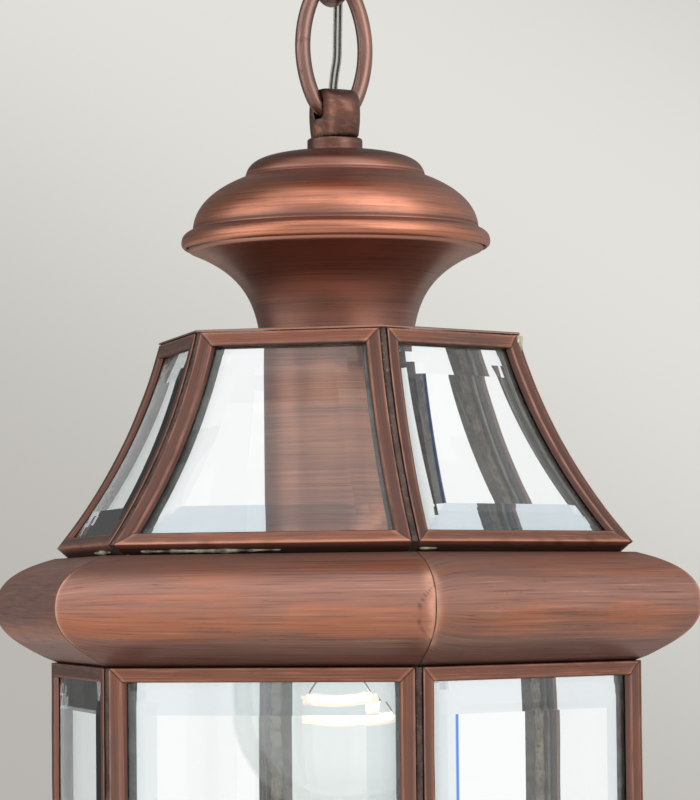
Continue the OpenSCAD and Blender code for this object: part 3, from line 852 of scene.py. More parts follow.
@dataclass
class Cord:
    """Clear twin lead from the rose to the lampholder, in four lengths that meet at the joints."""

    width: float = 3.2
    core_r: float = 0.42
    core_gap: float = 1.46
    route: tuple = (
        (6.4, -6.4, -10), (4.6, -4.6, -10), (2.6, -2.6, -10.8), (0.8, -0.8, -13.2), (0, 0, -17),
        (0, 0, -26), (0, 0, -35.9), (-0.4, 0, -39.9), (-2, 0.3, -43.2), (-4.4, 1.1, -45.7),
        (-6.9, 3.1, -47.3), (-8.4, 6.4, -49.1), (-8.2, 9.6, -52.3), (-6.8, 11.4, -56.4),
        (-5.8, 11.4, -61.4), (-5.5, 9.6, -67), (-5.2, 7.6, -76), (-5, 6.2, -86), (-5, 5.8, -94),
        (-4.8, 5.8, -101), (-3.2, 5.7, -107.5), (0, 5.6, -114), (3.2, 5.7, -120.5),
        (4.9, 5.8, -127), (5.2, 6, -134), (5.3, 6.6, -142), (5.6, 7.6, -150), (6, 8.8, -157),
        (5.8, 10.4, -163), (5.8, 11.4, -168.5), (6.8, 11.4, -173.5), (8.2, 9.6, -177.6),
        (8.4, 6.4, -180.8), (6.9, 3.1, -182.6), (4.4, 1.1, -184.2), (2, 0.3, -186.7),
        (0.4, 0, -190), (0, 0, -194), (0, 0, -215), (0, 0, -240), (0, 0, -270), (0, 0, -302.7),
    )
    cuts: tuple = (14, 20, 25)
    steps: int = 8
    bend_half: float = 12.0

    def lengths(self) -> list:
        """The four lengths of the route, smoothed, in the frame of the lamp."""
        line = turned(smooth_line(np.array(self.route, float), self.steps), CHAIN_TURN)
        marks = [0, *(c * self.steps for c in self.cuts), len(line) - 1]
        return [line[a : b + 1] for a, b in zip(marks, marks[1:])]

    def section(self) -> Array:
        """Flat outline with a slight waist, where w is half the width and a goes round.

        x = w cos a and y = 0.58 w (1 − 0.16 cos 2a) (1 + 0.1 cos 2a) sin a.
        """
        a = np.linspace(0, 2 * np.pi, 28, endpoint=False)
        half = self.width / 2
        thick = 0.58 * half * (1.0 + 0.16 * np.cos(2 * a + np.pi))
        return np.column_stack([half * np.cos(a), thick * np.sin(a) * (1 + 0.1 * np.cos(2 * a))])

    def build(self, make: Maker) -> None:
        lines = self.lengths()
        up = (0.96, 0.28, 0.0)
        for k, line in enumerate(lines):
            sleeve = make.piece(
                f"cord_{4 - k}", tube(line, self.section(), up), make.finishes.sleeve, None,
                ("cord",),
            )
            cores = [
                tube(line, circle(self.core_r, 10) + [[s * self.core_gap / 2, 0.0]], up)
                for s in (-1, 1)
            ]
            core = make.piece(
                f"cord_{4 - k}_cores", cores, make.finishes.core, None
            )
            for thing in (sleeve, core):
                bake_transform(thing)


@dataclass
class Studio:
    """Camera at the photograph's angle, soft lamps, a pale floor and a pale surrounding."""

    azimuth: float = 16.2
    distance: float = 1283.2
    height: float = -343.55
    tilt: float = 2.94
    swing: float = 0.196
    roll: float = -0.556
    focal_px: float = 3707.6
    frame_px: float = 800.0
    floor_z: float = -1000.0
    floor_r: float = 3.0
    floor_sides: int = 96
    white: tuple = (1.0, 0.99, 0.98)
    pale: tuple = tone(226, 225, 219)
    shade: tuple = tone(183, 180, 175)
    sheen_from: tuple = (0.0027, 0.143)
    sheen_slope: tuple = (-4.63, -8.03)

    def camera(self) -> None:
        """The camera: it looks level at the axis, then swings right, tilts up and rolls."""
        data = bpy.data.cameras.new("camera")
        data.sensor_width = 36.0
        data.lens = self.focal_px / self.frame_px * data.sensor_width
        data.clip_start, data.clip_end = 0.02, 50.0
        thing = bpy.data.objects.new("camera", data)
        a = math.radians(self.azimuth)
        place = Vector((math.sin(a), -math.cos(a), 0.0)) * self.distance
        place.z = self.height
        level = Matrix.Rotation(a - math.radians(self.swing), 4, "Z") @ Matrix.Rotation(
            math.radians(90 + self.tilt), 4, "X"
        )
        turn = Matrix.Rotation(math.radians(self.roll), 4, "Z")
        thing.matrix_world = Matrix.Translation(place * METRE) @ level @ turn
        bpy.context.scene.collection.objects.link(thing)
        bpy.context.scene.camera = thing

    def lamp(
        self, name: str, place: tuple, aim: tuple, size: tuple, power: float, colour: tuple
    ) -> None:
        """One soft rectangular lamp, which neither the camera nor a ray through glass sees.

        Args:
            name: name of the lamp.
            place: where it stands, in metres.
            aim: the place it faces, in metres.
            size: its width and height in metres.
            power: its power in watts.
            colour: its light.
        """
        data = bpy.data.lights.new(name, "AREA")
        data.shape = "RECTANGLE"
        data.size, data.size_y = size
        data.energy = power
        data.color = colour
        thing = bpy.data.objects.new(name, data)
        way = Vector(aim) - Vector(place)
        thing.location = place
        thing.rotation_mode = "QUATERNION"
        thing.rotation_quaternion = way.to_track_quat("-Z", "Y")
        thing.visible_camera = False
        thing.visible_transmission = False
        bpy.context.scene.collection.objects.link(thing)

    def lamps(self) -> None:
        """The lamps: a broad one at each side, one above and a weak one in front."""
        mid = (0.0, 0.0, -0.30)
        self.lamp("left", (-1.5, -1.0, 0.0), mid, (1.8, 2.6), 18.0, self.white)
        self.lamp("right", (1.5, -0.8, 0.65), mid, (1.5, 2.2), 16.0, self.white)
        self.lamp("top", (0.0, -0.7, 1.3), mid, (2.2, 1.4), 8.0, (1.0, 1.0, 1.0))
        self.lamp("front", (0.2, -2.2, -0.5), mid, (1.6, 1.6), 3.5, (1.0, 1.0, 1.0))

    def backdrop(self, s: "Shader", x: "Value", y: "Value", z: "Value") -> bpy.types.NodeSocket:
        """What the camera sees behind: pale, and darker by 1 − exp(−q²) away from a slanted line.

        q grows with the distance from the line, in the directions right and up as seen by the
        camera at rest, each over the distance ahead.
        """
        a = math.radians(self.azimuth)
        ahead = (x * -math.sin(a) + y * math.cos(a)).most(0.1)
        right = (x * math.cos(a) + y * math.sin(a)) / ahead - self.sheen_from[0]
        up = z / ahead - self.sheen_from[1]
        q = right * self.sheen_slope[0] + up * self.sheen_slope[1]
        fall = 1.0 - s.number("ShaderNodeMath", {"operation": "EXPONENT"}, [q * q * -1.0])
        return s.mixed(fall, self.pale, self.shade)

    def world(self) -> None:
        """Pale surrounding: a soft grey to the camera, nearly white through glass.

        Metal sees it brighter on the camera's side and at the right, and dimmer below.
        """
        s = Shader("surrounding", world=True)
        x, y, z = s.split(s.node("ShaderNodeTexCoord", {}, {}).outputs["Generated"])
        facing = (x * 0.5 - y * 0.86).above(-0.7, 0.6)
        right = (x * 0.96 + y * 0.28).above(-0.1, 0.8)
        gloss = (0.18 + facing * 0.56 + right * 0.3) * (0.8 + z.above(-0.8, 0.1) * 0.2)
        path = s.node("ShaderNodeLightPath", {}, {}).outputs
        last = s.node("ShaderNodeBackground", {}, {"Color": self.white, "Strength": 0.5})
        for ray, colour, strength in (
            ("Is Glossy Ray", self.white, gloss),
            ("Is Transmission Ray", (1.0, 1.0, 1.0), 1.05),
            ("Is Camera Ray", self.backdrop(s, x, y, z), 1.0),
        ):
            layer = s.node("ShaderNodeBackground", {}, {"Color": colour, "Strength": strength})
            last = s.node(
                "ShaderNodeMixShader", {}, [path[ray], last.outputs[0], layer.outputs[0]]
            )
        s.surface(last.outputs[0])
        bpy.context.scene.world = s.holder

    def floor(self) -> None:
        """A round pale floor well below the lamp."""
        mesh = bpy.data.meshes.new("floor")
        edge = circle(self.floor_r, self.floor_sides).tolist()
        rim = [(x, y, self.floor_z * METRE) for x, y in edge]
        mesh.from_pydata(rim, [], [list(range(self.floor_sides))])
        s = Shader("floor_pale")
        mesh.materials.append(
            s.surface(s.principled(Base_Color=tone(226, 224, 219), Roughness=0.85))
        )
        thing = bpy.data.objects.new("floor", mesh)
        bpy.context.scene.collection.objects.link(thing)

    def build(self) -> None:
        """Sets up camera, lamps, surrounding and floor."""
        self.camera()
        self.lamps()
        self.world()
        self.floor()
        bpy.context.scene.view_settings.view_transform = "Standard"


@dataclass
class Chain:
    """Three oval links of round wire, standing crosswise to each other."""

    wire_r: float = 2.675
    half_l: float = 22.8
    half_w: float = 12.35
    end_r: float = 9.2
    rings: int = 144
    sides: int = 28

    def line(self) -> Array:
        """Middle line of a link in the XZ plane: an arc at each end and a flatter one at each side."""
        k = self.half_l - self.end_r
        side_r = (self.half_w**2 + k * k - self.end_r**2) / (2 * (self.half_w - self.end_r))
        a = math.degrees(math.atan2(k, side_r - self.half_w))
        arcs = [
            (0.0, k, self.end_r, a, 180 - a),
            (side_r - self.half_w, 0.0, side_r, 180 - a, 180 + a),
            (0.0, -k, self.end_r, 180 + a, 360 - a),
            (self.half_w - side_r, 0.0, side_r, -a, a),
        ]
        parts = []
        for cx, cz, r, t0, t1 in arcs:
            n = round(abs(t1 - t0) * r)
            t = np.radians(np.linspace(t0, t1, n, endpoint=False))
            parts.append(np.column_stack([cx + r * np.cos(t), 0 * t, cz + r * np.sin(t)]))
        line = np.vstack(parts)
        closed = np.vstack([line, line[:1]])
        run = run_length(closed)
        want = np.linspace(0, run[-1], self.rings, endpoint=False)
        return np.column_stack([np.interp(want, run, closed[:, k]) for k in range(3)])

    def link(self) -> Skin:
        """The line with a round section; "edge" is the polish where two links bear on each other."""
        line = self.line()
        ring = tube(line, circle(self.wire_r, self.sides), (0, 1, 0), capped=False)
        x, _, z = ring.points.T
        inner = np.hypot(x, np.abs(z) - (self.half_l - self.end_r)) < self.end_r
        bearing = np.clip((np.abs(z) - (self.half_l - 5.5)) / 4.0, 0, 1) * inner
        ring.values["edge"] = 0.8 * bearing
        ring.values["seam"] = 0.7 * np.exp(-((z - 2.0) ** 2) / 0.12) * (x < 0)
        return ring

    def build(self, make: Maker) -> None:
        """Makes the three links."""
        mids = {3: -75.1, 2: -115.05, 1: -155.0}
        bodies = {3: Body.LINK_3, 2: Body.LINK_2, 1: Body.LINK_1}
        for n, z in mids.items():
            turn = CHAIN_TURN + (90 if n == 2 else 0)
            make.piece(
                f"link_{n}_oval", self.link().placed(turn, z), make.finishes.links, bodies[n],
                (f"chain_link_{n}",),
            )


@dataclass
class CastLoop:
    """Cast loop on a foot; the wire in its eye runs along X at the origin.

    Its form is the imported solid's, taken over as a copy and rounded as a casting is.
    """

    drop: float = 8.9
    half_t: float = 5.0
    half_w: float = 9.8
    grain: float = 0.32

    def cast(self, node: str, turn: float, lift: float, flip: float) -> Skin:
        """Copy of a loop's solid with even cells of the grain's size, smoothed, and its worn places.

        The block bulges: with a = x / 5 and b = y / 9.8 its sides go to x √(1 − 0.36 b²) and
        y √(1 − 0.36 a²), widened, and both shrink by 0.0011 (z + 0.5)² up and down.

        Args:
            node: the CAD node.
            turn: the loop's turn about the vertical, in degrees.
            lift: height of the wire in its eye.
            flip: 1 for a loop that stands on its foot, −1 for one that hangs from it.

        Returns:
            The skin in the frame of the lamp.
        """
        work = bmesh.new()
        work.from_mesh(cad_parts[node].data)
        bmesh.ops.remove_doubles(work, verts=work.verts, dist=1e-6)
        mesh = bpy.data.meshes.new("cast")
        work.to_mesh(mesh)
        work.free()
        thing = bpy.data.objects.new("cast", mesh)
        bpy.context.scene.collection.objects.link(thing)
        even = thing.modifiers.new("even", "REMESH")
        even.mode = "VOXEL"
        even.voxel_size = self.grain * METRE
        soft = thing.modifiers.new("soft", "SMOOTH")
        soft.factor, soft.iterations = 0.5, 34
        bpy.context.view_layer.update()
        done = thing.evaluated_get(bpy.context.evaluated_depsgraph_get()).to_mesh()
        points = np.empty(len(done.vertices) * 3, np.float32)
        done.vertices.foreach_get("co", points)
        points = points.reshape(-1, 3).astype(float) / METRE
        x, y, z = turned(points, -turn).T
        up = (z - lift) * flip
        belly = 1.0 - 0.0011 * (up + 0.5) ** 2
        a, b = np.clip(x / self.half_t, -1, 1), np.clip(y / self.half_w, -1, 1)
        x = x * 1.36 * belly * np.sqrt(1 - 0.36 * b * b)
        y = y * 1.2 * belly * np.sqrt(1 - 0.36 * a * a)
        points = turned(np.column_stack([x, y, z]), turn)
        faces = [list(f.vertices) for f in done.polygons]
        bpy.data.objects.remove(thing)
        return Skin(points, faces, self.worn(points, turn, lift, flip))

    def worn(self, points: Array, turn: float, lift: float, flip: float) -> dict:
        """Worn and tinned places, a dark line at the foot and painted shade in the mouths of the eye, as
        soft spots exp(−d²) about places in the loop's own frame.
        """
        x, y, z = (turned(points - [0, 0, lift], -turn) * [1, 1, flip]).T
        rough = 1 + 0.5 * lumps(points, 2.2, 5)
        left = np.clip((-x - self.half_t + 1.5) / 1.0, 0, 1)
        patch = left * np.exp(-(((y - 0.6) / 3.6) ** 2) - ((z + 5.8) / 2.1) ** 2)
        spot = left * np.exp(-(((y + 1.6) / 1.7) ** 2) - ((z + 2.6) / 0.6) ** 2)
        # Painted shade in the mouths of the eye, where the wire goes in.
        eye_shade = np.exp(-(((np.abs(x) - 4.2) / 1.0) ** 2) - ((np.abs(y) - 4.3) / 0.7) ** 2) * (z > -3)
        foot = np.exp(-(((z + self.drop - 0.5) / 0.7) ** 2))
        low = np.exp(-(((z + self.drop - 1.1) / 0.5) ** 2))
        fleck = np.clip(lumps(points, 1.2, 11) * 1.6 - 0.4, 0, 1) * low
        return {
            "across": z + 0.4 * x,
            "edge": np.clip(0.9 * patch * rough, 0, 1),
            "tin": np.clip((0.2 * patch + 0.9 * spot) * rough + fleck, 0, 1),
            "seam": np.clip(0.75 * foot * rough + 0.35 * eye_shade, 0, 1),
        }

    def build(self, make: Maker) -> None:
        """Makes the loop of the lantern and the loop of the rose."""
        for name, body, node, lift, flip in (
            ("hanging_loop", Body.LANTERN, "hang_loop", JOINT_Z[3], 1.0),
            ("rose_loop", Body.ROSE, "canopy_loop", JOINT_Z[0], -1.0),
        ):
            shape = self.cast(node, CHAIN_TURN, lift, flip)
            make.piece(name, shape, make.finishes.cast, body, (node,), sharp=80.0)


@dataclass
class Turnings:
    """Spun and turned parts: canopy, collars, dome, neck and tube, and the hexagonal top plate."""

    canopy_r: float = 60.0
    canopy_h: float = 39.0
    rim_r: float = 53.6
    rim_h: float = 126.0
    neck_foot_r: float = 26.6
    plate_t: float = 0.9
    plate_r: float = 65.2
    clear_r: float = 5.1

    def canopy(self) -> Skin:
        """Sheet along a straight lip, a small step and a bell."""
        r, h = self.canopy_r, self.canopy_h
        line = np.vstack(
            [
                [[r, 0], [r, -2.6], [r - 0.5, -3.3], [r - 2, -4.3]],
                curve((r - 3, -5), (r - 8, -20), (24, -22), (16, -h + 3), 40),
                curve((15.5, -h + 2.6), (13.5, -h + 0.6), (12, -h), (10.5, -h), 6),
                [[self.clear_r, -h]],
            ]
        )
        return revolved(skin(line, -1.0))

    def collar(self) -> Skin:
        """Turned ring with softened corners."""
        r, h = 9.6, COLLAR_H
        line = np.vstack(
            [
                [[5.0, 0.0], [r - 0.25, 0.0], [r, 0.25], [r, h - 1.0]],
                curve((r, h - 1.0), (r, h - 0.3), (r - 0.4, h), (r - 1.0, h), 6)[1:],
                [[5.0, h]],
            ]
        )
        return revolved(line, 96)

    def dome(self) -> Skin:
        """Sheet along a rolled rim, a round shoulder, a crisp step and a low crown."""
        r, h = self.rim_r, self.rim_h
        rim = smooth_line(
            [
                [r - 1.2, h - 2.4], [r - 0.2, h - 1.4], [r, h + 0.3], [r - 0.7, h + 2.2],
                [r - 2.4, h + 3.6], [r - 3.9, h + 4.2],
            ],
            4,
        )
        line = np.vstack(
            [
                rim,
                curve((49.6, 130.8), (49, 138.5), (42.5, 144.5), (31.4, 148.6), 48),
                curve((31.2, 149.2), (30, 154.2), (26, 156.2), (12, DOME_TOP_H), 32),
                [[self.clear_r, DOME_TOP_H]],
            ]
        )
        shape = revolved(skin(line, 1.0), 192)
        out, up = np.hypot(*shape.points.T[:2]), shape.points[:, 2]
        dark = [np.exp(-(((out - a) ** 2 + (up - b) ** 2) / 0.3)) for a, b in ((31.3, 149), (49.5, 131))]
        low = np.exp(-(((up - h + 1.6) / 0.8) ** 2)) * (out > 51)
        lines = [np.exp(-(((up - h - a) / 0.22) ** 2)) * (out > 51) for a in (1.5, -0.5)]
        shape.values["seam"] = 0.8 * (dark[0] + dark[1]) + 0.45 * (lines[0] + lines[1])
        shape.values["edge"] = 0.45 * low
        shape.values["aged"] = np.clip(up - 149.2, 0, 1)
        return shape

    def neck(self) -> Skin:
        """Sheet that flares from its foot to a flange and turns up inside the dome."""
        foot = PLATE_H + self.plate_t
        line = np.vstack(
            [
                curve((self.neck_foot_r, foot), (28.4, 106), (33, 115.5), (50.4, 122.4), 64),
                curve((50.4, 122.4), (51.0, 122.8), (51.3, 123.4), (51.3, 124.4), 4)[1:],
                [[51.3, 128.2]],
            ]
        )
        shape = revolved(skin(line, 1.0), 192)
        up = shape.points[:, 2]
        # Painted highlight: brighter metal on the upper flare, under the dome's rim.
        shape.values["edge"] = 0.4 * np.clip((up - 114) / 6, 0, 1) * (up < 123.5)
        return shape

    def socket_tube(self) -> Skin:
        """Straight tube of 1 mm wall with a closed top."""
        line = np.array(
            [
                [24, 5.0], [25, 5.0], [25, PLATE_H - 0.6], [24.4, PLATE_H],
                [self.clear_r, PLATE_H], [self.clear_r, PLATE_H - 1.0],
                [24, PLATE_H - 1.0],
            ]
        )
        return revolved(line)

    def top_plate(self) -> Skin:
        """Hexagonal plate with a hole: rings of a hexagon, a circle and their rounded edges."""
        a = np.linspace(0, 2 * np.pi, 144, endpoint=False)
        nearest = np.mod(a, np.pi / 3) - np.pi / 6
        hexagon = self.plate_r * COS30 / np.cos(nearest)
        t = self.plate_t
        rows = [
            (self.clear_r, 0.0, 0.0), (1.0, -0.25, 1.0), (1.0, 0.0, 0.25), (1.0, 0.0, t - 0.25),
            (1.0, -0.25, t), (self.clear_r, 0.0, t),
        ]
        points = []
        for share, off, h in rows:
            radius = np.full_like(a, share) if share > 2 else hexagon + off
            height = h if share > 2 or off == 0 else (t if h >= t else 0.0)
            points.append(np.column_stack([radius * np.cos(a), radius * np.sin(a), 0 * a + height]))
        grid = np.stack(points, axis=1).reshape(-1, 3)
        faces = cells(len(a), len(rows), True, True)
        across = np.tile(np.arange(len(rows)) * 2.0, len(a))
        return Skin(grid, faces, {"across": across}).outward()

    def build(self, make: Maker) -> None:
        """Makes each part where it belongs."""
        f = make.finishes
        rows = [
            ("rose_canopy", self.canopy(), 0.0, f.dome, Body.ROSE, "ceiling_canopy"),
            ("rose_collar", self.collar(), -(self.canopy_h + COLLAR_H), f.cast, Body.ROSE, "canopy_collar"),
            ("hanging_collar", self.collar(), LANTERN_Z + DOME_TOP_H, f.cast, Body.LANTERN, "loop_collar"),
            ("dome", self.dome(), LANTERN_Z, f.dome, Body.LANTERN, "cap_dome"),
            ("neck", self.neck(), LANTERN_Z, f.neck, Body.LANTERN, "cap_neck"),
            ("plate", self.top_plate(), LANTERN_Z + PLATE_H, f.neck, Body.LANTERN, "top_plate"),
            ("holder_tube", self.socket_tube(), LANTERN_Z, f.tube, Body.LANTERN, "socket_tube"),
        ]
        for name, shape, lift, finish, body, node in rows:
            make.piece(name, shape.placed(0.0, lift), finish, body, (node,))


@dataclass(frozen=True)
class PanePlane:
    """The outer face of a pane: place at a length down from its top edge and a depth below it.

    A bent pane follows c + (r + depth)(cos q, sin q) with q = q0 + length / r; a flat pane goes
    straight down. The corner planes cut both at |y| = (distance out) tan 30.
    """

    top: tuple
    length: float
    bend_r: float = 0.0
    centre: tuple = (0.0, 0.0)
    start: float = 0.0

    def at(self, down: Array, depth: Array) -> tuple:
        """Distance out from the axis, and height."""
        if not self.bend_r:
            return self.top[0] - depth + 0 * down, self.top[1] - down + 0 * depth
        q = self.start + down / self.bend_r
        r = self.bend_r + depth
        return self.centre[0] + r * np.cos(q), self.centre[1] + r * np.sin(q)


def bent_plane(top: tuple, low: tuple, r: float) -> PanePlane:
    """The bent plane through two points: the circle's middle lies outside, on the bisector."""
    p, q = np.array(top), np.array(low)
    mid, d = (p + q) / 2, (q - p)
    half = np.linalg.norm(d) / 2
    d = d / (2 * half)
    c = mid + math.sqrt(r * r - half * half) * np.array([-d[1], d[0]])
    a0 = math.pi + math.asin((c[1] - p[1]) / r)
    a1 = math.pi + math.asin((c[1] - q[1]) / r)
    return PanePlane(top, (a1 - a0) * r, r, tuple(c), a0)


@dataclass
class Panes:
    """Bevelled panes in mitred came frames, with the solder in their corners."""

    came_w: float = 4.8
    corner_gap: float = 1.3
    glass_t: float = 4.0
    glass_front: float = 0.5
    edge_t: float = 2.0
    bevel: float = 14.5
    web: float = 1.0
    play: float = 0.15
    slant: float = 0.89
    past_bevel: float = 2.0
    no_line: float = 3.0
    bead_half: float = 2.2
    roof: PanePlane = bent_plane((65.3 * COS30, PLATE_H), EAVES, 196.0)
    body: PanePlane = PanePlane((BODY_A, BODY_TOP_H), BODY_LENGTH)

    def bar_section(self) -> Array:
        """Section of a bar, as distance in from its outer edge and depth below its face.

        The face is a shallow hollow between a round outer edge and a small ridge at the glass.
        """
        w, d = self.came_w, CAME_D
        back = self.glass_front + self.glass_t + self.play
        rise = (self.glass_t - self.edge_t) * (w - self.web) / self.bevel
        front = self.glass_front + self.glass_t - self.edge_t - rise - 2 * self.play
        r = 0.5
        return np.vstack(
            [
                [[0.0, d], [0.0, d * 0.5]],
                curve((0.0, r), (0.0, r * 0.4), (r * 0.4, 0.0), (r, 0.0), 4),
                curve((0.9, 0.03), (1.6, 0.14), (2.8, 0.14), (w - 1.15, 0.06), 6),
                curve((w - 0.95, 0.0), (w - 0.8, -0.06), (w - 0.7, -0.06), (w - 0.5, 0.0), 3),
                curve((w - 0.35, 0.08), (w - 0.1, 0.2), (w, 0.3), (w, 0.6), 3),
                [[w, front], [self.web, front], [self.web, back], [w, back], [w, d]],
                [[w * 0.66, d], [w * 0.33, d]],
            ]
        )

    @staticmethod
    def stations(length: float, steps: int) -> Array:
        """Places along a bar as shares of its length: close together at its mitres, then even."""
        near = np.array([0.0, 0.15, 0.4, 0.9, 2.0, 4.0]) / length
        mid = np.linspace(7.0 / length, 1 - 7.0 / length, steps)
        return np.concatenate([near, mid, 1 - near[:0:-1]])

    def frame(self, plane: PanePlane, side: int, seed: int) -> Skin:
        """Bar section carried round a pane: top, right, bottom and left, mitred at each corner.

        At distance u in from the edge and depth d, the side bars lie at
        |y| = (out − 2 (gap + 0.89 u)) tan 30 and the end bars at length u from the pane's ends.

        Args:
            plane: the pane's outer face.
            side: number of points along the middle of a side bar.
            seed: seed of the small waves of the bars.

        Returns:
            The skin in the pane's own frame, X out and Z up.
        """
        section = self.bar_section()
        u, d = section[:, 0], section[:, 1]
        full = plane.length
        t = self.stations(2 * plane.top[0] * TAN30, 20)[:, None]
        s = self.stations(full, side)[:, None]
        down = np.vstack(
            [u + 0 * t, u + s * (full - 2 * u), full - u + 0 * t, full - u - s * (full - 2 * u)]
        )
        lateral = np.vstack([-1 + 2 * t + 0 * u, 1 + 0 * s + 0 * u, 1 - 2 * t + 0 * u, -1 + 0 * s + 0 * u])
        a, h = plane.at(down, d[None, :])
        half = (a - 2 * (self.corner_gap + self.slant * u)) * TAN30
        y = lateral * half
        end_bar = np.vstack([t < 2, s > 2, t < 2, s > 2])
        mitre = np.where(end_bar, half - np.abs(y), np.minimum(down - u, full - u - down))
        mitre = np.maximum(mitre, 0.0).reshape(-1)
        points = np.stack([a, y, h], axis=-1).reshape(-1, 3)
        rows, cols = down.shape
        face = np.tile((d < 1.0) * 1.0, rows)
        inside = np.tile(np.clip((d - 2.2) / 0.6, 0, 1), rows)
        # The outer side face looks into the gap between frames and gets painted shade.
        outer_side = np.tile((u < 0.01) & (d > 1.5), rows) * 1.0
        points[:, 0] += lumps(points, 30.0, seed) * 0.07 * face
        ragged = 1 + 0.45 * lumps(points, 6.0, seed + 100)
        # Brighter along the rounded outer edge and the ridge at the glass: worn metal and painted
        # highlight.
        rim = np.exp(-(((u - 0.35) / 0.4) ** 2)) + 0.7 * np.exp(-(((u - self.came_w + 0.6) / 0.35) ** 2))
        # Painted highlight: a bright line along the lower edge of the roof's bottom bars.
        lower = (np.abs(down - full) < 3.5) & end_bar & (plane.bend_r > 0)
        low_edge_highlight = np.exp(-(((full - down) / 1.3) ** 2)) * lower
        joint = np.exp(-((mitre / 0.22) ** 2)) * face
        beside = np.exp(-(((mitre - 0.9) / 0.6) ** 2)) * end_bar.repeat(cols, axis=1).reshape(-1)
        edge = (0.4 * np.tile(rim, rows) + 0.9 * low_edge_highlight.reshape(-1) + 0.35 * beside) * face * ragged
        values = {
            "across": np.tile(run_length(section), rows),
            "seam": np.clip(0.9 * joint + 0.55 * outer_side, 0, 1),
            "edge": np.clip(edge, 0, 1),
            "tin": np.clip(inside * (1 - outer_side) * 0.96, 0, 1),
            "aged": (~end_bar).repeat(cols, axis=1).reshape(-1) * (0.95 if plane.bend_r else 0.2),
        }
        return Skin(points, cells(rows, cols, True, True), values).outward()

    def glass(self, plane: PanePlane, down_cells: int, split: "tuple | None" = None) -> Skin:
        """Pane with flat cut bevels: front and back grids joined at the rim.

        The front lies at depth glass_front, and at its rim drops by glass_t − edge_t over the
        width of the bevel; the back is plain. "inset" is past_bevel off the left bevel, and "split"
        is no_line where no blue line runs. Between neighbouring points neither may pass through
        the other's values, or a thin blue line shows there.

        Args:
            plane: the pane's outer face.
            down_cells: cells between the upper and the lower bevel.
            split: share of the way over the left bevel at which the blue line runs, at the top
                and at the bottom of the pane, or None for a pane without one.

        Returns:
            The skin in the pane's own frame, with "edge", a painted shade, 1 at the rim.
        """
        full = plane.length
        lo, hi = self.web, full - self.web
        cuts = np.array([0.0, 0.1, 0.3, 0.45, 0.7, 0.995])
        steps = np.linspace(lo + self.bevel, hi - self.bevel, down_cells + 1)
        down = np.concatenate([lo + cuts * self.bevel, steps, hi - cuts[::-1] * self.bevel])
        share = np.concatenate([cuts, np.ones(down_cells + 1), cuts[::-1]])
        mid = np.linspace(-1, 1, 13)
        lateral = np.concatenate([-np.ones(len(cuts)), mid, np.ones(len(cuts))])
        inset = np.concatenate([cuts, np.ones(13), cuts[::-1]])
        rows, cols = len(down), len(lateral)
        side = self.corner_gap + self.web + self.play
        gap = side + inset * self.bevel * self.slant
        cut = np.minimum(share[:, None], inset[None, :])
        sheets = []
        for back in (False, True):
            depth = np.full((rows, cols), self.glass_front + self.glass_t * back)
            if not back:
                depth += (1 - cut) * (self.glass_t - self.edge_t)
            a, h = plane.at(down[:, None], depth)
            y = lateral[None, :] * (a - 2 * gap[None, :]) * TAN30
            sheets.append(np.stack([a, y, h], axis=-1).reshape(-1, 3))
        n = rows * cols
        quads = cells(rows, cols)
        faces = quads + [[v + n for v in q[::-1]] for q in quads]
        border = (
            [(c, c + 1) for c in range(cols - 1)]
            + [(r * cols + cols - 1, (r + 1) * cols + cols - 1) for r in range(rows - 1)]
            + [((rows - 1) * cols + c, (rows - 1) * cols + c - 1) for c in range(cols - 1, 0, -1)]
            + [(r * cols, (r - 1) * cols) for r in range(rows - 1, 0, -1)]
        )
        faces += [[q, p, p + n, q + n] for p, q in border]
        flat = np.zeros(n)
        across = np.where(lateral > -0.999, self.past_bevel, inset) + 0 * cut
        along = (down[:, None] - lo) / (hi - lo) + 0 * cut
        # Painted shade near the rim, where the frame shows through.
        rim_shade = np.maximum(np.exp(-((inset[None, :] / 0.42) ** 2)), np.exp(-((share[:, None] / 0.2) ** 2)))
        high_end, low_end = split or (self.no_line, self.no_line)
        line = np.where(share[:, None] < 0.999, self.no_line, high_end + along * (low_end - high_end))
        # Painted shade on the bevels: full on the lower bevel, and 0.1 on the roof or 0.5 on the body
        # elsewhere.
        beside = 0.1 if plane.bend_r else 0.5
        low = (down[:, None] > hi - self.bevel) & (share[:, None] <= inset[None, :] + 0.02)
        bevel_shade = np.where(low, 1.0, beside) * (cut < 0.999)
        values = {
            "edge": np.concatenate([rim_shade.reshape(-1), (cut < 0.01).reshape(-1)]),
            "bevel": np.concatenate([bevel_shade.reshape(-1), flat]),
            "inset": np.concatenate([across.reshape(-1), flat]),
            "split": np.concatenate([line.reshape(-1), flat + self.no_line]),
        }
        return Skin(np.vstack(sheets), faces, values).outward()

    def bead(self, plane: PanePlane, seed: int) -> Skin:
        """Solder in a corner: a strip in the gap, darkened as painted shade, and a flat lumpy bead inside.

        Both have a rounded section |x/w|⁴ + |y/h|⁴ = 1, swollen by lumps.

        Args:
            plane: the outer face of the panes that meet there.
            seed: seed of the lumps.

        Returns:
            The skin in the corner's frame, X out along the corner.
        """
        count, sides = 150, 20
        down = np.linspace(0.2, plane.length - 0.2, count)
        q = np.linspace(0, 2 * np.pi, sides, endpoint=False)
        ring = np.column_stack([np.cos(q), np.sin(q)])
        ring = np.sign(ring) * np.abs(ring) ** 0.5
        skins = []
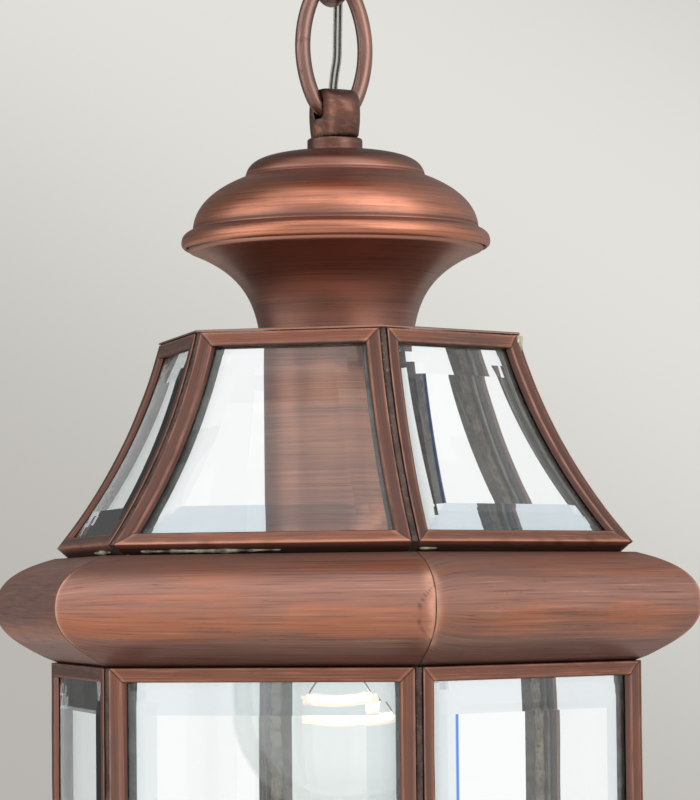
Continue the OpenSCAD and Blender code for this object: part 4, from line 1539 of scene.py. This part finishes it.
        # The strip deep in the gap is fully darkened, painted shade over its solder; the bead inside
        # hardly.
        for depth, half_out, half_side, rough, aged in (
            (3.4, 2.75, self.corner_gap + 0.02, 0.03, 1.0),
            (CAME_D + 1.1, 0.75, self.bead_half, 0.16, 0.15),
        ):
            a, h = plane.at(down, np.full(count, depth))
            line = np.column_stack([a / COS30, 0 * a, h])
            shape = tube(line, ring, (0, 1, 0))
            centre = np.repeat(line, sides, axis=0)
            off = (shape.points - centre) * [half_out, half_side, half_out]
            swell = 1 + rough * lumps(centre + off, 4.0, seed)
            shape.points = centre + off * swell[:, None] * [1, 1 if rough > 0.1 else 0, 1]
            shape.points[:, 1] += off[:, 1] * (rough < 0.1)
            shape.values["aged"] = np.full(len(shape.points), aged)
            skins.append(shape)
        return joined(skins)

    def blob(self, place: tuple, size: tuple, seed: int) -> Skin:
        """Lump of pale solder: an ellipsoid place + size · (cos b cos a, cos b sin a, sin b), swollen.

        Args:
            place: its middle in the lantern's frame.
            size: its three half sizes.
            seed: seed of the lumps.

        Returns:
            The skin.
        """
        b = np.radians(np.linspace(-90, 90, 25))
        outline = np.column_stack([np.cos(b), np.sin(b)])
        outline[[0, -1], 0] = 0.0
        shape = revolved(outline, 32, close=False)
        swell = 1 + 0.18 * lumps(shape.points * np.array(size), 1.6, seed)
        points = shape.points * np.array(size) * swell[:, None] + np.array(place)
        return Skin(points, shape.faces, {"pale": np.ones(len(points))})

    def crust(self, y0: float, y1: float, out: float, height: float, seed: int) -> Skin:
        """Run of pale solder under the eaves: a thin tube whose radius is a noise.

        Args:
            y0, y1: its ends along the pane's edge.
            out: distance from the axis.
            height: height over the middle of the belt.
            seed: seed of the noise.

        Returns:
            The skin in the pane's own frame.
        """
        y = np.linspace(y0, y1, 90)
        line = np.column_stack([0 * y + out, y, 0 * y + height])
        shape = tube(line, circle(1.0, 12), (1, 0, 0))
        centre = np.repeat(line, 12, axis=0)
        fade = np.sin(np.pi * (centre[:, 1] - y0) / (y1 - y0)) ** 0.4
        radius = (0.75 + 0.4 * lumps(centre, 5.0, seed)) * fade + 0.05
        points = centre + (shape.points - centre) * np.clip(radius, 0.05, 1.3)[:, None]
        pale = np.clip(0.6 + 0.4 * lumps(points, 3.0, seed), 0, 1)
        return Skin(points, shape.faces, {"pale": pale, "aged": 1 - pale})

    def build(self, make: Maker) -> None:
        """Makes frames, glass and solder of roof and body; pane 2 of each has the blue line."""
        f = make.finishes
        runs = {1: (-42.0, 6.0), 2: (-48.0, -40.0), 3: (-20.0, 12.0), 4: (-30.0, 4.0), 6: (10.0, 40.0)}
        for word, plane, side, down_cells in (("roof", self.roof, 40, 40), ("body", self.body, 40, 16)):
            glass = self.glass(plane, down_cells)
            split = self.glass(plane, down_cells, (0.96, 0.92) if word == "roof" else (0.94, 0.94))
            beads = []
            for i in range(1, PANES + 1):
                turn = -90 + 60 * (i - 1)
                pane = split if i == 2 else glass
                make.piece(
                    f"{word}_pane_{i}", pane.placed(turn, LANTERN_Z), f.pane, Body.LANTERN,
                    (f"{word}_glass_{i}",), sharp=3.0,
                )
                bars = self.frame(plane, side, 20 + i)
                make.piece(
                    f"{word}_came_{i}", bars.placed(turn, LANTERN_Z), f.bars, Body.LANTERN,
                    (f"{word}_frame_{i}",), sharp=40.0,
                )
                beads.append(self.bead(plane, 60 + i).placed(turn + 30, LANTERN_Z))
                if word == "roof" and i in runs:
                    crust = self.crust(*runs[i], 87.2, 18.5, 40 + i)
                    beads.append(crust.placed(turn, LANTERN_Z))
            if word == "roof":
                beads.append(self.blob((64.6, 0.0, 88.6), (1.5, 1.6, 3.4), 7).placed(0, LANTERN_Z))
            make.piece(
                f"{word}_beads", beads, f.solder, Body.LANTERN, (f"{word}_solder",),
                weld=True,
            )


@dataclass
class Mouldings:
    """Half-round belt in six mitred lengths, and the smaller moulding under the body."""

    nose_a: float = 127.0 * COS30
    body_low: float = BODY_TOP_H - BODY_LENGTH
    base_h: float = 16.0
    gap: float = 0.06

    def belt_line(self) -> Array:
        """Outer line of the belt: flange, lower flank, nose, upper flank and the flange at the eaves."""
        a, n = BODY_A, self.nose_a
        roof = Panes.roof
        end = roof.start + roof.length / roof.bend_r
        seat = np.array(EAVES) + CAME_D * np.array([math.cos(end), math.sin(end)])
        return np.vstack(
            [
                [[a - CAME_D, BODY_TOP_H], [a - 2.4, BODY_TOP_H]],
                curve((n - 16.2, -17.6), (n - 6, -11.9), (n, -8), (n, 0), 28),
                curve((n, 0.4), (n, 7.8), (n - 5, 13.4), (n - 19.6, seat[1]), 28),
                [[seat[0] - 0.8, seat[1]]],
            ]
        )

    def base_line(self) -> Array:
        """Outer line of the base moulding."""
        a, h, b = BODY_A, self.body_low, self.base_h
        return np.vstack(
            [
                [[a - 6, h - b]],
                curve((a - 1, h - b), (a + 6.5, h - b + 3), (a + 6.5, h - 4), (a - 0.4, h - 1.6), 28),
                [[a - 0.6, h], [a - 6, h]],
            ]
        )

    @staticmethod
    def crease(y: Array, h: Array) -> tuple:
        """Dent beside the front belt's right mitre: depth and dark line.

        The crease is the curve y = 57.6 + 0.05 (h + 3.5)², from h = −13 to 8.
        """
        away = y - (57.6 + 0.05 * (h + 3.5) ** 2)
        reach = np.clip((h + 13) / 3, 0, 1) * np.clip((8 - h) / 3, 0, 1)
        depth = 0.4 * np.clip(away / 1.6, 0, 1) * np.clip((4.5 - away) / 3, 0, 1) * reach
        return depth, 0.55 * np.exp(-((away / 0.3) ** 2)) * reach

    def length(self, line: Array, seed: int, worn: tuple = (1.0, 1.2), creased: bool = False) -> Skin:
        """Sheet section carried along one side: y = s (out − 2 gap) tan 30 with s from −1 to 1.

        Args:
            line: outer line of the section.
            seed: seed of the slight waves of the sheet.
            worn: width in millimetres of the worn strip at the left and the right mitre.
            creased: whether the sheet has the crease beside its right mitre.

        Returns:
            The skin in the side's own frame.
        """
        section = skin(line, 1.0)
        cols = len(section)
        half_y = self.nose_a * TAN30
        near = np.array([0.0, 0.15, 0.35, 0.7, 1.2, 1.8, 2.5, 3.3, 4.2, 5.2, 6.3, 7.6, 9.0]) / half_y
        s = np.concatenate([-1 + near, np.linspace(-0.84, 0.84, 61), (1 - near)[::-1]])[:, None]
        a = section[None, :, 0] + 0 * s
        h = section[None, :, 1] + 0 * s
        y = s * (a - 2 * self.gap) * TAN30
        points = np.stack([a, y, h], axis=-1).reshape(-1, 3)
        _, py, ph = points.T
        near_nose = np.clip((points[:, 0] - BODY_A) / 8.0, 0, 1)
        mitre = np.maximum((points[:, 0] - 2 * self.gap) * TAN30 - np.abs(py), 0)
        push = lumps(points[:, 1:2], 60.0, seed) * 0.12
        dark = np.zeros(len(points))
        if creased:
            pressed, dark = self.crease(py, ph)
            push -= pressed
        points[:, 0] += push * near_nose
        ragged = 1 + 0.4 * lumps(points, 5.0, seed + 1)
        width = np.where(py < 0, *worn)
        strip = np.exp(-((mitre / width) ** 2)) * np.clip((15 - np.abs(ph)) / 5, 0, 1) * ragged
        top, low = line[:, 1].max(), line[:, 1].min()
        # Painted shade in the gaps under the eaves and over the body's frames, towards both ends of the
        # section.
        gap_shade = np.exp(-((top - ph) / 1.6)) + np.exp(-((ph - low) / 1.6))
        n = len(s)
        faces = cells(n, cols, False, True)
        faces += [list(range(cols))[::-1], [(n - 1) * cols + k for k in range(cols)]]
        # A band of patina at mid height, darker towards the bottom, and painted shade where the top flange
        # runs into the gap under the eaves.
        old = 0.7 * np.exp(-(((ph - 5.5) / 4) ** 2)) + np.clip((-9.5 - ph) / 3, 0, 0.85)
        values = {
            "aged": old + 0.6 * np.clip((ph - 15.5) / 1.5, 0, 1),
            "across": np.tile(run_length(section), n) + 0.5 * np.exp(-mitre / 9) * (py < 0) * ph,
            "edge": np.clip(strip, 0, 1),
            "seam": np.clip(dark + 0.75 * np.exp(-((mitre / 0.14) ** 2)) + 0.6 * gap_shade, 0, 1),
        }
        return Skin(points, faces, values).outward()

    def build(self, make: Maker) -> None:
        """Makes the six belt lengths and the base moulding."""
        f = make.finishes
        worn = {1: (0.7, 2.6), 2: (2.2, 0.8)}
        for i in range(1, PANES + 1):
            shape = self.length(self.belt_line(), 80 + i, worn.get(i, (0.8, 0.8)), i == 1)
            make.piece(
                f"belt_length_{i}", shape.placed(-90 + 60 * (i - 1), LANTERN_Z), f.belt,
                Body.LANTERN, (f"belt_{i}",), sharp=32.0,
            )
        sides = [
            self.length(self.base_line(), 90 + i).placed(-90 + 60 * (i - 1), LANTERN_Z)
            for i in range(1, PANES + 1)
        ]
        make.piece(
            "base_lengths", sides, f.belt, Body.LANTERN, ("base_moulding",),
            sharp=32.0,
        )


@dataclass
class Bulb:
    """Clear globe bulb with a lit coil."""

    cap_r: float = 13.0
    globe_r: float = 37.0
    globe_h: float = -35.0
    wall: float = 0.8
    seat_h: float = 12.0
    coil_h: float = -38.0
    coil_half: float = 11.0
    turn: float = 20.0

    def globe(self) -> Skin:
        """Blown globe: a neck curve into a circle, moved inwards by the wall, and the hollow stem."""
        a0 = 55
        r = self.globe_r
        shoulder = (r * math.cos(math.radians(a0)), r * math.sin(math.radians(a0)) + self.globe_h)
        q = np.radians(np.arange(a0 - 2, -90, -2.5))
        outer = np.vstack(
            [
                curve(
                    (self.cap_r - 0.4, self.seat_h), (13.2, 4.0),
                    (shoulder[0] - 4.9, shoulder[1] + 3.4), shoulder, 24,
                ),
                np.column_stack([r * np.cos(q), r * np.sin(q) + self.globe_h]),
                [[0.0, self.globe_h - r]],
            ]
        )
        inner = moved(outer, -self.wall)
        inner = inner[(inner[:, 1] < self.seat_h - 1) & (inner[:, 0] > 0.5)][::-1]
        stem_low = self.coil_h + 16
        outline = np.vstack(
            [
                [[0.8, self.seat_h]],
                outer,
                [[0.0, self.globe_h - r + self.wall]],
                inner,
                [
                    [self.cap_r - 1.2, self.seat_h - 1], [4.0, self.seat_h - 3],
                    [4.0, stem_low + 1], [3.2, stem_low], [0.8, stem_low],
                ],
            ]
        )
        return revolved(outline, 96)

    def coil(self) -> Skin:
        """Coil (x, ρ cos 2πk, ρ sin 2πk) along a shallow arc, where k counts the turns."""
        turns, radius, wire = 30, 1.1, 0.3
        t = np.linspace(0, 1, turns * 10)
        x = -self.coil_half + 2 * self.coil_half * t
        sag = -1.2 * (1 - (x / self.coil_half) ** 2)
        q = 2 * np.pi * turns * t
        line = np.column_stack([x, radius * np.cos(q), self.coil_h + sag + radius * np.sin(q)])
        return tube(line, circle(wire, 6), (1, 0.02, 0.03)).placed(self.turn, LANTERN_Z)

    def leads(self) -> list:
        """Two wires from the stem out to the ends of the coil."""
        skins = []
        for s in (-1, 1):
            line = curve(
                (s * 2, 0, self.coil_h + 15.8), (s * 3, 0, self.coil_h + 10),
                (s * 9.5, 0, self.coil_h + 5), (s * self.coil_half, 0, self.coil_h), 16,
            )
            skins.append(tube(line, circle(0.35, 10), (0, 1, 0)).placed(self.turn, LANTERN_Z))
        return skins

    def build(self, make: Maker) -> None:
        """Makes globe, coil and the wires that hold it."""
        f = make.finishes
        make.piece(
            "bulb_globe", self.globe().placed(0, LANTERN_Z), f.bulb, Body.LANTERN,
            ("bulb_glass",), weld=True,
        )
        make.piece(
            "bulb_coil", self.coil(), f.glow, Body.LANTERN, ("bulb_filament",)
        )
        make.piece("bulb_leads", self.leads(), f.steel, Body.LANTERN)


@dataclass
class Fittings:
    """The small CAD parts that stay as they are and only get their finish."""

    def build(self, make: Maker) -> None:
        """Dresses each node."""
        f = make.finishes
        for node, finish in (
            ("crossbar", f.steel), ("ceiling_nipple", f.brass), ("ceiling_locknut", f.brass),
            ("terminal_block", f.white), ("hang_nipple", f.brass), ("hang_locknut", f.brass),
            ("lampholder_cap", f.white), ("lampholder_shell", f.white), ("bulb_cap", f.steel),
        ):
            make.dress(node, finish)


def main() -> None:
    """Builds the studio and the lantern in order."""
    logging.basicConfig(level=logging.INFO, format="%(name)s: %(message)s")
    make = Maker(Finishes.made())
    Studio().build()
    for part in (Cord(), Chain(), CastLoop(), Turnings(), Panes(), Mouldings(), Bulb(), Fittings()):
        part.build(make)
    LOG.info("%d pieces made", make.count)


if __name__ == "__main__":
    main()
